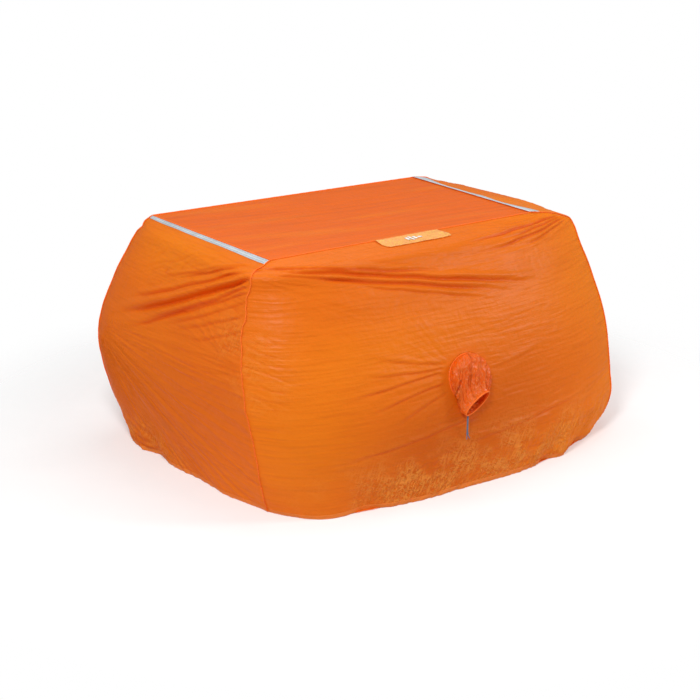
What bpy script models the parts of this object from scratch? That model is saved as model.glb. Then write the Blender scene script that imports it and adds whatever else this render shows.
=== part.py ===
"""Group emergency shelter: an open-bottomed box of coated nylon, pitched over a seated party.

Metres, +Z up. The long sides run along X and the vent is on the front (-Y) side. Shapes are worked out
about the roof's centre and then shifted, so that the origin is the middle of the whole piece on the ground.
The film-thin cloth is drawn CLOTH thick, which makes each panel a solid.
"""
import math

import bmesh
import bpy
import numpy as np
from mathutils import Matrix, Vector

# Driving dimensions
ROOF_LENGTH = 1.40
ROOF_WIDTH = 0.92
HEIGHT = 0.99
ROOF_SAG = 0.012
ROOF_BORDER = 0.05          # flat strip along the roof's edges, under tapes and seams
CLOTH = 0.0022              # drawn thickness of a cloth panel
GAP = 0.0003                # clearance between pieces that are sewn together
SEAM_RADIUS = 0.0022
TAPE_WIDTH = 0.026
TAPE_INSET = 0.004
TAPE_CLEARANCE = 0.0013
TAPE_THICKNESS = 0.0008
HEM_HEIGHT = 0.022
HEM_THICKNESS = 0.0012
SEAT_DEPTH = 0.26
VENT_X = 0.040
VENT_Z = 0.455
VENT_RADIUS = 0.100
COLLAR_INSIDE = 0.010
COLLAR_OUTSIDE = 0.014
COLLAR_THICKNESS = 0.004
MOUTH_CENTRE = Vector((0.018, -0.905, 0.366))
MOUTH_AXIS = Vector((0.20, -0.72, -0.66)).normalized()
MOUTH_LENGTH = Vector((0.90, 0.0, 0.43))    # rough direction of the mouth's long way across
MOUTH_HALF_LENGTH = 0.066
MOUTH_HALF_WIDTH = 0.037
MOUTH_HEM = 0.010
CORD_DIAMETER = 0.0035
CORD_DROP = 0.075
CORD_SPACING = 0.0048
KNOT_SIZE = Vector((0.0125, 0.0095, 0.0100))
TAIL_LENGTH = 0.020
TAIL_LEAN = 0.30            # sideways slope of the right tail; the left one hangs straight
FLAP_HALF_LENGTH = 0.170
FLAP_START = 0.004
FLAP_DEPTH = 0.074
FLAP_CORNER = 0.012         # how much the flap's lower corners are rounded off
FLAP_STRAIGHT = 0.7         # share of the flap's length that the rounding leaves straight
FLAP_THICKNESS = 0.0035
FLAP_CLEARANCE = 0.0030
FLAP_PIVOT = Vector((0.0, -0.0068, 0.0052))     # from the roof's front edge to the flap's upper inner edge
BADGE_SIZE = (0.070, 0.024)
BADGE_THICKNESS = 0.0008
BADGE_CLEARANCE = 0.0008
FRAME_SHIFT = Vector((-0.0428, 0.1151, 0.0))

# Outward reach from the roof's rectangle at each share of the height: along X and Y for the four corner
# seams, and the crown of each panel between its two seams
LEVELS = (0.0, 0.12, 0.30, 0.50, 0.70, 0.88, 0.975, 1.0)
CORNER_REACH = {
    "front_left": ((0.11, 0.145, 0.17, 0.185, 0.158, 0.10, 0.055, -0.018),
                   (0.145, 0.160, 0.150, 0.108, 0.055, 0.025, 0.018, 0.0)),
    "front_right": ((0.17, 0.25, 0.30, 0.315, 0.28, 0.22, 0.145, -0.016),
                    (0.26, 0.28, 0.22, 0.16, 0.095, 0.04, 0.010, 0.0)),
    "rear_right": ((0.15, 0.21, 0.27, 0.29, 0.26, 0.20, 0.130, 0.008),
                   (0.08, 0.10, 0.11, 0.11, 0.10, 0.06, 0.0, -0.045)),
    "rear_left": ((0.125, 0.185, 0.235, 0.250, 0.18, 0.095, 0.045, 0.010),
                  (0.04, 0.06, 0.085, 0.10, 0.09, 0.05, 0.012, 0.0)),
}
PANEL_CROWN = {
    "front": (0.225, 0.215, 0.22, 0.215, 0.20, 0.145, 0.072, 0.0),
    "right": (0.03, 0.05, 0.06, 0.06, 0.05, 0.03, 0.01, 0.0),
    "rear": (0.16, 0.16, 0.15, 0.13, 0.11, 0.08, 0.04, 0.0),
    "left": (0.075, 0.05, 0.04, 0.04, 0.035, 0.025, 0.01, 0.0),
}
CROWN_POWER = {"front": 3.6, "right": 2.5, "rear": 3.0, "left": 2.5}
CROWN_SKEW = {"front": 0.78, "right": 1.0, "rear": 1.0, "left": 0.6}
COLUMNS = {"front": 22, "right": 14, "rear": 20, "left": 14}
ROWS = (0.0, HEM_HEIGHT, 0.08, 0.16, 0.25, 0.35, 0.45, 0.55, 0.65, 0.75, 0.84, 0.90, 0.94, 0.965, 0.98)
TOP_ROW = HEIGHT - 0.0002
RING_SIDES = 24
SNORKEL_HANDLE = 0.42       # length of the loft's handles, as a share of the distance they span
HEM_MARGIN = 0.0012         # how far the mouth's hem stands out past the cloth on both sides
SEAM_STAND_OFF = 5 * GAP
ARC_STEP = 0.0008           # step for measuring along a wall

SIDES = ("front", "right", "rear", "left")
PANEL_NAME = {
    "front": "front_wall_panel",
    "right": "right_end_panel",
    "rear": "rear_wall_panel",
    "left": "left_end_panel",
}
SIDE_CORNERS = {
    "front": ("front_left", "front_right"),
    "right": ("front_right", "rear_right"),
    "rear": ("rear_right", "rear_left"),
    "left": ("rear_left", "front_left"),
}
CORNER_SIGNS = {
    "front_left": (-1, -1),
    "front_right": (1, -1),
    "rear_right": (1, 1),
    "rear_left": (-1, 1),
}
UP = Vector((0.0, 0.0, 1.0))
ACROSS = Vector((1.0, 0.0, 0.0))


# --- Shape of the pitched shelter ---------------------------------------------------------------------

def smooth_profile(values, share):
    """Cubic curve through the values given at LEVELS."""
    slopes = np.gradient(np.array(values), np.array(LEVELS))
    index = min(max(int(np.searchsorted(LEVELS, share)) - 1, 0), len(LEVELS) - 2)
    span = LEVELS[index + 1] - LEVELS[index]
    t = (share - LEVELS[index]) / span
    rise = 3 * t ** 2 - 2 * t ** 3
    return ((1 - rise) * values[index]
            + rise * values[index + 1]
            + (t ** 3 - 2 * t ** 2 + t) * span * slopes[index]
            + (t ** 3 - t ** 2) * span * slopes[index + 1])


def corner_point(corner, z):
    """Place of a corner seam at a height."""
    reach_x, reach_y = CORNER_REACH[corner]
    sign_x, sign_y = CORNER_SIGNS[corner]
    share = z / HEIGHT
    return Vector((sign_x * (ROOF_LENGTH / 2 + smooth_profile(reach_x, share)),
                   sign_y * (ROOF_WIDTH / 2 + smooth_profile(reach_y, share)), z))


def wall_point(side, t, z):
    """Point on the outside of a side panel; t runs from 0 to 1 between its corner seams."""
    start, end = (corner_point(corner, z) for corner in SIDE_CORNERS[side])
    chord = end - start
    outward = Vector((chord.y, -chord.x, 0.0)).normalized()
    crown = 1.0 - abs(2.0 * t ** CROWN_SKEW[side] - 1.0) ** CROWN_POWER[side]
    return start + chord * t + outward * (smooth_profile(PANEL_CROWN[side], z / HEIGHT) * crown)


def panel_normal(side, t, z):
    """Outward unit normal of one panel, by finite differences that stay on the panel."""
    step = 0.004
    t_low, t_high = max(t - step, 0.0), min(t + step, 1.0)
    z_low, z_high = max(z - step, 0.0), min(z + step, HEIGHT)
    along = wall_point(side, t_high, z) - wall_point(side, t_low, z)
    upward = wall_point(side, t, z_high) - wall_point(side, t, z_low)
    return along.cross(upward).normalized()


def wall_normal(side, t, z):
    """Panel normal, mitred with the neighbour's at a corner seam and with the roof's at the top."""
    normal = panel_normal(side, t, z)
    order = SIDES.index(side)
    if t < 0.001:
        normal = normal + panel_normal(SIDES[order - 1], 1.0, z)
    if t > 0.999:
        normal = normal + panel_normal(SIDES[(order + 1) % 4], 0.0, z)
    if z >= TOP_ROW:
        normal = normal.normalized() + UP
    return normal.normalized()


def level_normal(side, t, z):
    """Wall normal without its slope."""
    normal = wall_normal(side, t, z)
    normal.z = 0.0
    return normal.normalized()


def panel_columns(side):
    """Shares of a panel's width for its columns; both ends stop short of the corner seams."""
    even = np.linspace(0.0, 1.0, COLUMNS[side] + 1)
    crowded = 0.5 - 0.5 * np.cos(math.pi * even)
    columns = 0.6 * even + 0.4 * crowded
    width = (wall_point(side, 1.0, 0.4) - wall_point(side, 0.0, 0.4)).length
    columns[0] = GAP / width
    columns[-1] = 1.0 - GAP / width
    return columns


def front_share(x, z):
    """Share of the front panel's width at which it has a given x."""
    low, high = 0.0, 1.0
    for _ in range(30):
        middle = (low + high) / 2
        if wall_point("front", middle, z).x < x:
            low = middle
        else:
            high = middle
    return low


def roof_point(u, v):
    """Point on the roof; u runs from left to right and v from front to rear."""
    front = corner_point("front_left", HEIGHT).lerp(corner_point("front_right", HEIGHT), u)
    rear = corner_point("rear_left", HEIGHT).lerp(corner_point("rear_right", HEIGHT), u)
    point = front.lerp(rear, v)
    sag = ROOF_SAG
    for share, span in ((u, ROOF_LENGTH), (v, ROOF_WIDTH)):
        inside = (min(share, 1.0 - share) * span - ROOF_BORDER) / (span / 2 - ROOF_BORDER)
        inside = min(max(inside, 0.0), 1.0)
        sag *= inside * inside * (3.0 - 2.0 * inside)
    return point - UP * sag


# --- Blender objects ----------------------------------------------------------------------------------

def material(name, colour, roughness, metallic=0.0):
    """Principled material with the piece's colour."""
    made = bpy.data.materials.new(name)
    made.use_nodes = True
    shader = made.node_tree.nodes["Principled BSDF"]
    shader.inputs["Base Color"].default_value = (*colour, 1.0)
    shader.inputs["Roughness"].default_value = roughness
    shader.inputs["Metallic"].default_value = metallic
    return made


def add_object(name, data, look, pivot=None):
    """Link a mesh or curve as a named piece, with its origin at the pivot or at the roof's centre."""
    pivot = pivot or Vector()
    data.transform(Matrix.Translation(-pivot))
    piece = bpy.data.objects.new(name, data)
    piece.location = FRAME_SHIFT + pivot
    bpy.context.scene.collection.objects.link(piece)
    data.materials.append(look)
    if piece.type == "MESH":
        data.shade_smooth()
        data.set_sharp_from_angle(angle=math.radians(40))
    return piece


def grid_solid(name, outer, inner, ring=False):
    """Closed solid between two equal grids of points; ring joins each row's end to its start."""
    builder = bmesh.new()
    front = [[builder.verts.new(point) for point in row] for row in outer]
    back = [[builder.verts.new(point) for point in row] for row in inner]

    def quad(a, b, c, d):
        builder.faces.new((a, b, c))
        builder.faces.new((a, c, d))

    columns = len(outer[0])
    pairs = [(column, column + 1) for column in range(columns - 1)]
    if ring:
        pairs.append((columns - 1, 0))
    for row in range(len(outer) - 1):
        for this, after in pairs:
            quad(front[row][this], front[row][after], front[row + 1][after], front[row + 1][this])
            quad(back[row][this], back[row + 1][this], back[row + 1][after], back[row][after])
        if not ring:
            quad(front[row][0], front[row + 1][0], back[row + 1][0], back[row][0])
            quad(front[row + 1][-1], front[row][-1], back[row][-1], back[row + 1][-1])
    for this, after in pairs:
        quad(front[0][after], front[0][this], back[0][this], back[0][after])
        quad(front[-1][this], front[-1][after], back[-1][after], back[-1][this])
    bmesh.ops.recalc_face_normals(builder, faces=builder.faces)
    mesh = bpy.data.meshes.new(name)
    builder.to_mesh(mesh)
    builder.free()
    return mesh


def tube(name, points, radius, look, pivot=None):
    """Round cord or piping through the points, with closed ends."""
    curve = bpy.data.curves.new(name, "CURVE")
    curve.dimensions = "3D"
    curve.bevel_depth = radius
    curve.bevel_resolution = 2
    curve.use_fill_caps = True
    spline = curve.splines.new("POLY")
    spline.points.add(len(points) - 1)
    for target, point in zip(spline.points, points):
        target.co = (*point, 1.0)
    return add_object(name, curve, look, pivot)


def pivot_empty(name, place):
    """Empty on a joint's axis, which the moving pieces hang from."""
    empty = bpy.data.objects.new(name, None)
    empty.location = FRAME_SHIFT + place
    bpy.context.scene.collection.objects.link(empty)
    return empty


def hang_from(piece, empty):
    """Parent a piece whose origin is already at the empty."""
    piece.parent = empty
    piece.location = Vector()


# --- Cloth body ---------------------------------------------------------------------------------------

def build_roof(look):
    """Flat, taut roof panel; its underside is set back from the walls' mitred tops."""
    us = np.linspace(0.0, 1.0, 15)
    vs = np.linspace(0.0, 1.0, 11)

    def grid(inset, drop):
        u_inset, v_inset = inset / ROOF_LENGTH, inset / ROOF_WIDTH
        return [[roof_point(u, v) - UP * drop for u in np.clip(us, u_inset, 1 - u_inset)]
                for v in np.clip(vs, v_inset, 1 - v_inset)]

    mesh = grid_solid("roof_panel", grid(GAP, 0.0), grid(GAP + 0.0015, CLOTH))
    add_object("roof_panel", mesh, look)


def build_wall_panels(look):
    """Four cloth walls between the roof's edge and the ground."""
    for side in SIDES:
        outer, inner = [], []
        for z in (*ROWS, TOP_ROW):
            outer.append([wall_point(side, t, z) for t in panel_columns(side)])
            normal = level_normal if z <= HEM_HEIGHT else wall_normal
            inner.append([wall_point(side, t, z) - normal(side, t, z) * CLOTH for t in panel_columns(side)])
        add_object(PANEL_NAME[side], grid_solid(PANEL_NAME[side], outer, inner), look)


def build_seat_flaps(look):
    """Cloth turned in at the foot of the long sides, which the party sits on."""
    for side in ("front", "rear"):
        top, bottom = [], []
        for share in (0.0, 0.5, 1.0):
            row = []
            for t in panel_columns(side)[2:-2]:
                foot = wall_point(side, t, 0.0)
                start = foot - level_normal(side, t, 0.0) * (CLOTH + 2 * GAP)
                inner_edge = Vector((foot.x * 0.94, foot.y - math.copysign(SEAT_DEPTH, foot.y), 0.0))
                row.append(start.lerp(inner_edge, share))
            bottom.append(row)
            top.append([point + UP * CLOTH for point in row])
        name = f"{side}_seat_flap"
        add_object(name, grid_solid(name, top, bottom), look)


# --- Seams, hems and tapes ----------------------------------------------------------------------------

def build_roof_seams(look):
    """Piped seams where the walls join the roof."""
    short = 3 * SEAM_RADIUS
    lift = UP * (GAP + SEAM_RADIUS)
    along_x = np.linspace(short / ROOF_LENGTH, 1 - short / ROOF_LENGTH, 13)
    along_y = np.linspace(short / ROOF_WIDTH, 1 - short / ROOF_WIDTH, 9)
    tube("front_roof_seam", [roof_point(u, 0.0) + lift for u in along_x], SEAM_RADIUS, look)
    tube("rear_roof_seam", [roof_point(u, 1.0) + lift for u in along_x], SEAM_RADIUS, look)
    tube("left_roof_seam", [roof_point(0.0, v) + lift for v in along_y], SEAM_RADIUS, look)
    tube("right_roof_seam", [roof_point(1.0, v) + lift for v in along_y], SEAM_RADIUS, look)


def build_corner_seams(look):
    """Piped seams down the four corners, outside the panels' mitred edges."""
    for side in SIDES:
        corner = SIDE_CORNERS[side][0]
        points = []
        for z in (HEM_HEIGHT + 0.006, *ROWS[2:]):
            off = wall_normal(side, 0.0, z) * (SEAM_RADIUS + SEAM_STAND_OFF)
            points.append(corner_point(corner, z) + off)
        tube(f"{corner}_corner_seam", points, SEAM_RADIUS, look)


def build_hems(look):
    """Binding round the foot of each wall, outside the cloth."""
    for side in SIDES:
        outer, inner = [], []
        shares = panel_columns(side)
        normals = [level_normal(side, t, HEM_HEIGHT) for t in shares]
        for z in (0.001, HEM_HEIGHT):
            points = [wall_point(side, t, z) for t in shares]
            inner.append([point + normal * 2 * GAP for point, normal in zip(points, normals)])
            outer.append([point + normal * HEM_THICKNESS for point, normal in zip(inner[-1], normals)])
        name = f"{side}_hem_binding"
        add_object(name, grid_solid(name, outer, inner), look)


def off_wall(side, t, reach, offset):
    """Point a given distance off a panel, at an arc length down from the roof seam."""
    z = HEIGHT
    here = wall_point(side, t, z)
    travelled = 0.0
    while travelled < reach:
        z -= ARC_STEP
        after = wall_point(side, t, z)
        travelled += (after - here).length
        here = after
    return here + panel_normal(side, t, z) * offset


def build_tapes(look):
    """Reflective tape sewn along the top of both end panels, just outside the roof seam."""
    reaches = (TAPE_INSET, TAPE_INSET + TAPE_WIDTH / 2, TAPE_INSET + TAPE_WIDTH)
    for side in ("left", "right"):
        shares = panel_columns(side)[1:-1]
        lower = [[off_wall(side, t, reach, TAPE_CLEARANCE) for t in shares] for reach in reaches]
        upper = [[off_wall(side, t, reach, TAPE_CLEARANCE + TAPE_THICKNESS) for t in shares]
                 for reach in reaches]
        name = f"{side}_reflective_tape"
        add_object(name, grid_solid(name, upper, lower), look)


# --- Stow flap ----------------------------------------------------------------------------------------

def flap_rows(offset):
    """Points that follow the front wall out from the roof seam, with rounded lower corners."""
    xs = np.linspace(-FLAP_HALF_LENGTH, FLAP_HALF_LENGTH, 11)
    shares = [front_share(x, HEIGHT - 0.01) for x in xs]
    ends = [max(abs(x) / FLAP_HALF_LENGTH - FLAP_STRAIGHT, 0.0) / (1.0 - FLAP_STRAIGHT) for x in xs]
    rows = []
    for share in np.linspace(0.0, 1.0, 7):
        reach = FLAP_START + (FLAP_DEPTH - FLAP_START) * share
        rows.append([off_wall("front", t, reach - FLAP_CORNER * end ** 2 * share, offset)
                     for t, end in zip(shares, ends)])
    return rows


def build_stow_flap(cloth, white):
    """Flap of the stow pocket, sewn into the front roof seam, with a blank badge."""
    pivot = roof_point(0.5, 0.0) + FLAP_PIVOT
    hinge = pivot_empty("stow_flap_hinge", pivot)
    under = flap_rows(FLAP_CLEARANCE)
    over = flap_rows(FLAP_CLEARANCE + FLAP_THICKNESS)
    mesh = grid_solid("stow_pocket_flap", over, under)
    hang_from(add_object("stow_pocket_flap", mesh, cloth, pivot), hinge)
    half = BADGE_SIZE[0] / 2
    middle = FLAP_DEPTH / 2

    shares = [front_share(x, HEIGHT - 0.01) for x in np.linspace(-half, half, 5)]
    reaches = np.linspace(middle - BADGE_SIZE[1] / 2, middle + BADGE_SIZE[1] / 2, 4)

    def badge(offset):
        return [[off_wall("front", t, reach, offset) for t in shares] for reach in reaches]

    base = FLAP_CLEARANCE + FLAP_THICKNESS + BADGE_CLEARANCE
    mesh = grid_solid("stow_flap_badge", badge(base + BADGE_THICKNESS), badge(base))
    hang_from(add_object("stow_flap_badge", mesh, white, pivot), hinge)


# --- Vent ---------------------------------------------------------------------------------------------

def ellipse(centre, first, second):
    """Ring of points round a centre, from the second half-axis towards the first."""
    angles = [2 * math.pi * index / RING_SIDES for index in range(RING_SIDES)]
    return [centre + first * math.sin(angle) + second * math.cos(angle) for angle in angles]


def vent_ring(centre, outward, radius, offset):
    """Circle in the vent's plane, starting at the top."""
    upward = ACROSS.cross(-outward).normalized()
    return ellipse(centre + outward * offset, ACROSS * radius, upward * radius)


def mouth_ring(margin, offset):
    """Edge of the snorkel's mouth, grown by a margin and moved along its axis."""
    along = (MOUTH_LENGTH - MOUTH_AXIS * MOUTH_LENGTH.dot(MOUTH_AXIS)).normalized()
    across = along.cross(-MOUTH_AXIS).normalized()
    return ellipse(MOUTH_CENTRE + MOUTH_AXIS * offset, along * (MOUTH_HALF_LENGTH + margin),
                   across * (MOUTH_HALF_WIDTH + margin))


def snorkel_rings(centre, outward, shrink):
    """Rings lofted from the collar to the mouth, leaving each square to its plane."""
    root = vent_ring(centre, outward, VENT_RADIUS - 0.003 - shrink, COLLAR_OUTSIDE + 2 * GAP)
    mouth = mouth_ring(-shrink, 0.0)
    rings = []
    for step in range(10):
        t = step / 9
        ring = []
        for start, end in zip(root, mouth):
            handle = (end - start).length * SNORKEL_HANDLE
            leave = start + outward * handle
            arrive = end - MOUTH_AXIS * handle
            ring.append(start * (1 - t) ** 3 + leave * 3 * t * (1 - t) ** 2
                        + arrive * 3 * t ** 2 * (1 - t) + end * t ** 3)
        rings.append(ring)
    return rings


def cut_vent_hole(centre, outward, look):
    """Hole through the front panel that the collar stands in."""
    outer = [vent_ring(centre, outward, VENT_RADIUS + 2 * GAP, offset) for offset in (-0.06, 0.06)]
    builder = bmesh.new()
    low, high = ([builder.verts.new(point) for point in ring] for ring in outer)
    for this in range(RING_SIDES):
        after = (this + 1) % RING_SIDES
        builder.faces.new((low[this], low[after], high[after], high[this]))
    builder.faces.new(low)
    builder.faces.new(high)
    bmesh.ops.recalc_face_normals(builder, faces=builder.faces)
    mesh = bpy.data.meshes.new("vent_hole_cutter")
    builder.to_mesh(mesh)
    builder.free()
    cutter = add_object("vent_hole_cutter", mesh, look)
    cutter.hide_render = True
    cutter.display_type = "WIRE"
    cut = bpy.data.objects["front_wall_panel"].modifiers.new("vent_hole", "BOOLEAN")
    cut.operation = "DIFFERENCE"
    cut.object = cutter


def build_vent(cloth, trim):
    """Collar in the front panel, and the drooping snorkel with its hemmed mouth on a lifting hinge."""
    share = front_share(VENT_X, VENT_Z)
    centre = wall_point("front", share, VENT_Z)
    outward = panel_normal("front", share, VENT_Z)
    outward.x = 0.0
    outward.normalize()
    cut_vent_hole(centre, outward, cloth)

    offsets = (-COLLAR_INSIDE, COLLAR_OUTSIDE)
    outer = [vent_ring(centre, outward, VENT_RADIUS, offset) for offset in offsets]
    inner = [vent_ring(centre, outward, VENT_RADIUS - COLLAR_THICKNESS, offset) for offset in offsets]
    add_object("vent_collar", grid_solid("vent_collar", outer, inner, ring=True), trim)

    pivot = vent_ring(centre, outward, VENT_RADIUS - 0.002, COLLAR_OUTSIDE + 2 * GAP)[0]
    hinge = pivot_empty("vent_lift_hinge", pivot)
    mesh = grid_solid("vent_snorkel", snorkel_rings(centre, outward, 0.0),
                      snorkel_rings(centre, outward, CLOTH), ring=True)
    hang_from(add_object("vent_snorkel", mesh, cloth, pivot), hinge)
    offsets = (GAP, GAP + MOUTH_HEM)
    outer = [mouth_ring(HEM_MARGIN, offset) for offset in offsets]
    inner = [mouth_ring(-CLOTH - HEM_MARGIN, offset) for offset in offsets]
    mesh = grid_solid("vent_mouth_hem", outer, inner, ring=True)
    hang_from(add_object("vent_mouth_hem", mesh, trim, pivot), hinge)
    return min(mouth_ring(HEM_MARGIN, GAP + MOUTH_HEM), key=lambda point: point.z)


def build_drawcord(low_point, look):
    """Two cord ends that hang from the mouth's hem to a shared knot, with short tails under it."""
    exit_point = low_point - UP * 0.001
    hinge = pivot_empty("drawcord_hinge", exit_point)
    knot_top = exit_point - UP * CORD_DROP
    for name, sign in (("left", -1), ("right", 1)):
        offset = ACROSS * (sign * CORD_SPACING / 2)
        strand = [exit_point - UP * (CORD_DROP * share) + offset * (1.0 - 0.12 * math.sin(math.pi * share))
                  for share in np.linspace(0.0, 1.0, 13)]
        hang_from(tube(f"vent_drawcord_{name}", strand, CORD_DIAMETER / 2, look, exit_point), hinge)
        start = knot_top - UP * (KNOT_SIZE.z + 2 * GAP) + offset
        lean = Vector((TAIL_LEAN * (sign + 1), 0.0, -1.0)).normalized()
        tail = [start + lean * (TAIL_LENGTH * share) for share in np.linspace(0.0, 1.0, 6)]
        hang_from(tube(f"vent_cord_tail_{name}", tail, CORD_DIAMETER / 2, look, exit_point), hinge)

    mesh = bpy.data.meshes.new("vent_cord_knot")
    builder = bmesh.new()
    bmesh.ops.create_uvsphere(builder, u_segments=12, v_segments=8, radius=0.5)
    builder.transform(Matrix.Diagonal((*KNOT_SIZE, 1.0)))
    builder.transform(Matrix.Translation(knot_top - UP * (KNOT_SIZE.z / 2 + GAP)))
    builder.to_mesh(mesh)
    builder.free()
    hang_from(add_object("vent_cord_knot", mesh, look, exit_point), hinge)


def main():
    for thing in list(bpy.data.objects):
        bpy.data.objects.remove(thing, do_unlink=True)
    orange = material("orange_ripstop", (0.80, 0.17, 0.02), 0.45)
    roof_orange = material("roof_ripstop", (0.78, 0.15, 0.02), 0.5)
    silver = material("reflective_silver", (0.55, 0.57, 0.60), 0.35, 0.3)
    seam_orange = material("seam_binding", (0.90, 0.22, 0.06), 0.5)
    vent_orange = material("vent_cloth", (0.90, 0.15, 0.02), 0.4)
    flap_yellow = material("stow_flap_cloth", (0.90, 0.48, 0.12), 0.5)
    badge_white = material("badge_white", (0.85, 0.85, 0.85), 0.5)
    cord_grey = material("drawcord", (0.12, 0.15, 0.20), 0.7)
    build_roof(roof_orange)
    build_wall_panels(orange)
    build_seat_flaps(roof_orange)
    build_roof_seams(seam_orange)
    build_corner_seams(seam_orange)
    build_hems(seam_orange)
    build_tapes(silver)
    build_stow_flap(flap_yellow, badge_white)
    low_point = build_vent(vent_orange, seam_orange)
    build_drawcord(low_point, cord_grey)


main()
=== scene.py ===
"""Looks of the group emergency shelter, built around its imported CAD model.

The walls, the roof and the flap are fine grids laid over the outer faces of their CAD solids and then
wrinkled. A point on a wall is given by how far along the wall it is and by its drop, the distance down the
cloth from the roof's edge. A place on a wall is written as (x, height), or as (y, height) on the two ends.
Lengths are in metres.
"""

import math

import bpy
import numpy as np
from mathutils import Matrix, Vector
from mathutils.bvhtree import BVHTree


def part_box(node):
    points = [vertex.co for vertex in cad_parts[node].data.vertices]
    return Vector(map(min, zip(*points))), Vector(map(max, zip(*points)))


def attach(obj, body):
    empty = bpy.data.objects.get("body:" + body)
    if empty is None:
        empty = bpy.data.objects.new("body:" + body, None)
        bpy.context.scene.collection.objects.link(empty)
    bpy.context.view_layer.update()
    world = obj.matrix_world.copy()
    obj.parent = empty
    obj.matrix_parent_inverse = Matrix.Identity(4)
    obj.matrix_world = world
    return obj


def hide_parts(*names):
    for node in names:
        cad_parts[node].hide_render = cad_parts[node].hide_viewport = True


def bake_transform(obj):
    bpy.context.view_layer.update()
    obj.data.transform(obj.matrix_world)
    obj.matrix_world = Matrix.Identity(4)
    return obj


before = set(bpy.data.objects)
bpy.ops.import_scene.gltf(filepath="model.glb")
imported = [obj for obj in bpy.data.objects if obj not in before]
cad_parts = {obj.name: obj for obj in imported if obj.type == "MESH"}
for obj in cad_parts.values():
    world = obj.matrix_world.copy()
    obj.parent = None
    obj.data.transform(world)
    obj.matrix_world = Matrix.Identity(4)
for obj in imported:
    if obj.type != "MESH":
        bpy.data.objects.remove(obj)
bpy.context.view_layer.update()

# View
VIEW_TARGET = Vector((-0.0428, 0.1151, 0.45))
VIEW_AZIMUTH = math.radians(-35.33)
VIEW_ELEVATION = math.radians(18.27)
VIEW_DISTANCE = 6.579
LENS = 74.57
SHIFT = (0.0073, -0.0294)

# Cloth grids
CELL = {"front": 0.0046, "left": 0.0045, "right": 0.007, "rear": 0.008}
ROOF_CELL = 0.007
SAMPLES_ALONG = 81          # places along a wall at which its CAD panel is read
SMOOTHING = 0.035           # spread that rounds off the CAD panel's facets
SEAM_RADIUS = 0.0026
BESIDE_SEAM = 0.012         # from a corner seam to where its walls' directions are read
CORD_RADIUS = 0.00175
RING_RADIUS = 0.0028        # of the binding round the vent's collar
SLEEVE_SIDES = 144
SLEEVE_ROWS = 44
SLEEVE_LENGTH = 0.20
MOUTH_SIZE = (0.074, 0.030)     # half of the sleeve's mouth, its long way and its short way
HEM_HEIGHT = 0.020
HOLE_MARGIN = 0.015         # round the vent, where the CAD panel isn't read
PRINT_DROP = 0.042          # middle of the bars printed on the stow flap

ALONG = {
    "front": np.array((1.0, 0.0, 0.0)),
    "right": np.array((0.0, 1.0, 0.0)),
    "rear": np.array((-1.0, 0.0, 0.0)),
    "left": np.array((0.0, -1.0, 0.0)),
}
CORNERS = {
    "front": ("front_left", "front_right"),
    "right": ("front_right", "rear_right"),
    "rear": ("rear_right", "rear_left"),
    "left": ("rear_left", "front_left"),
}
PANELS = {
    "front": "front_wall_panel",
    "right": "right_end_panel",
    "rear": "rear_wall_panel",
    "left": "left_end_panel",
}
LONG_SIDES = ("front", "rear")
UP = np.array((0.0, 0.0, 1.0))

# Where each corner seam is drawn in: drop, depth and half-width
PINCH = {
    "front_left": (0.105, 0.017, 0.014),
    "front_right": (0.165, 0.016, 0.024),
    "rear_left": (0.120, 0.010, 0.016),
    "rear_right": (0.140, 0.006, 0.018),
}
# How far into a wall the moves at its corner seam are felt
STRAY_REACH = 0.035
SAG_REACH = 0.130
NOTCH_REACH = 0.028
SEW_REACH = 0.150           # of an end wall's whole edge, as it is brought onto the long wall's
SEWN_STRAY_REACH = 0.045    # of the long wall's straying, as the end wall takes it over
# How far each shoulder hangs below the CAD panel, deepest at SAG_DROP
SAG = {"front_left": 0.0, "front_right": 0.010, "rear_left": 0.006, "rear_right": 0.010}
SAG_DROP = 0.140
SAG_SPREAD = 0.030


# --- Numbers ------------------------------------------------------------------------------------------

def unit(vectors):
    """Vectors at length 1."""
    return vectors / np.maximum(np.linalg.norm(vectors, axis=-1, keepdims=True), 1e-12)


def smooth_step(low, high, value):
    """0 below low, 1 above high and a smooth rise between them."""
    share = np.clip((value - low) / (high - low), 0.0, 1.0)
    return share * share * (3.0 - 2.0 * share)


def noise(x, y, seed):
    """Gradient noise, about -1 to 1, with features one unit across."""
    angles = np.random.default_rng(seed).uniform(0.0, 2 * math.pi, (256, 256))
    column, row = np.floor(x).astype(int), np.floor(y).astype(int)
    right, up = x - column, y - row

    def corner(i, j):
        angle = angles[(column + i) % 256, (row + j) % 256]
        return np.cos(angle) * (right - i) + np.sin(angle) * (up - j)

    ease_x = right ** 3 * (right * (right * 6 - 15) + 10)
    ease_y = up ** 3 * (up * (up * 6 - 15) + 10)
    low = corner(0, 0) * (1 - ease_x) + corner(1, 0) * ease_x
    high = corner(0, 1) * (1 - ease_x) + corner(1, 1) * ease_x
    return 1.5 * (low * (1 - ease_y) + high * ease_y)


def creased_noise(x, y, seed):
    """Noise with sharp crests, from 0 to 1."""
    return (1.0 - np.minimum(np.abs(noise(x, y, seed)) * 1.8, 1.0)) ** 2


def hermite(knots, values, at):
    """Smooth curve through the values at the knots; the first axis runs along the knots."""
    slopes = np.gradient(values, knots, axis=0)
    index = np.clip(np.searchsorted(knots, at, side="right") - 1, 0, len(knots) - 2)
    span = knots[index + 1] - knots[index]
    shape = (-1,) + (1,) * (values.ndim - 1)
    t = ((at - knots[index]) / span).reshape(shape)
    span = span.reshape(shape)
    rise = 3 * t ** 2 - 2 * t ** 3
    return ((1 - rise) * values[index]
            + rise * values[index + 1]
            + (t ** 3 - 2 * t ** 2 + t) * span * slopes[index]
            + (t ** 3 - t ** 2) * span * slopes[index + 1])


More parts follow.
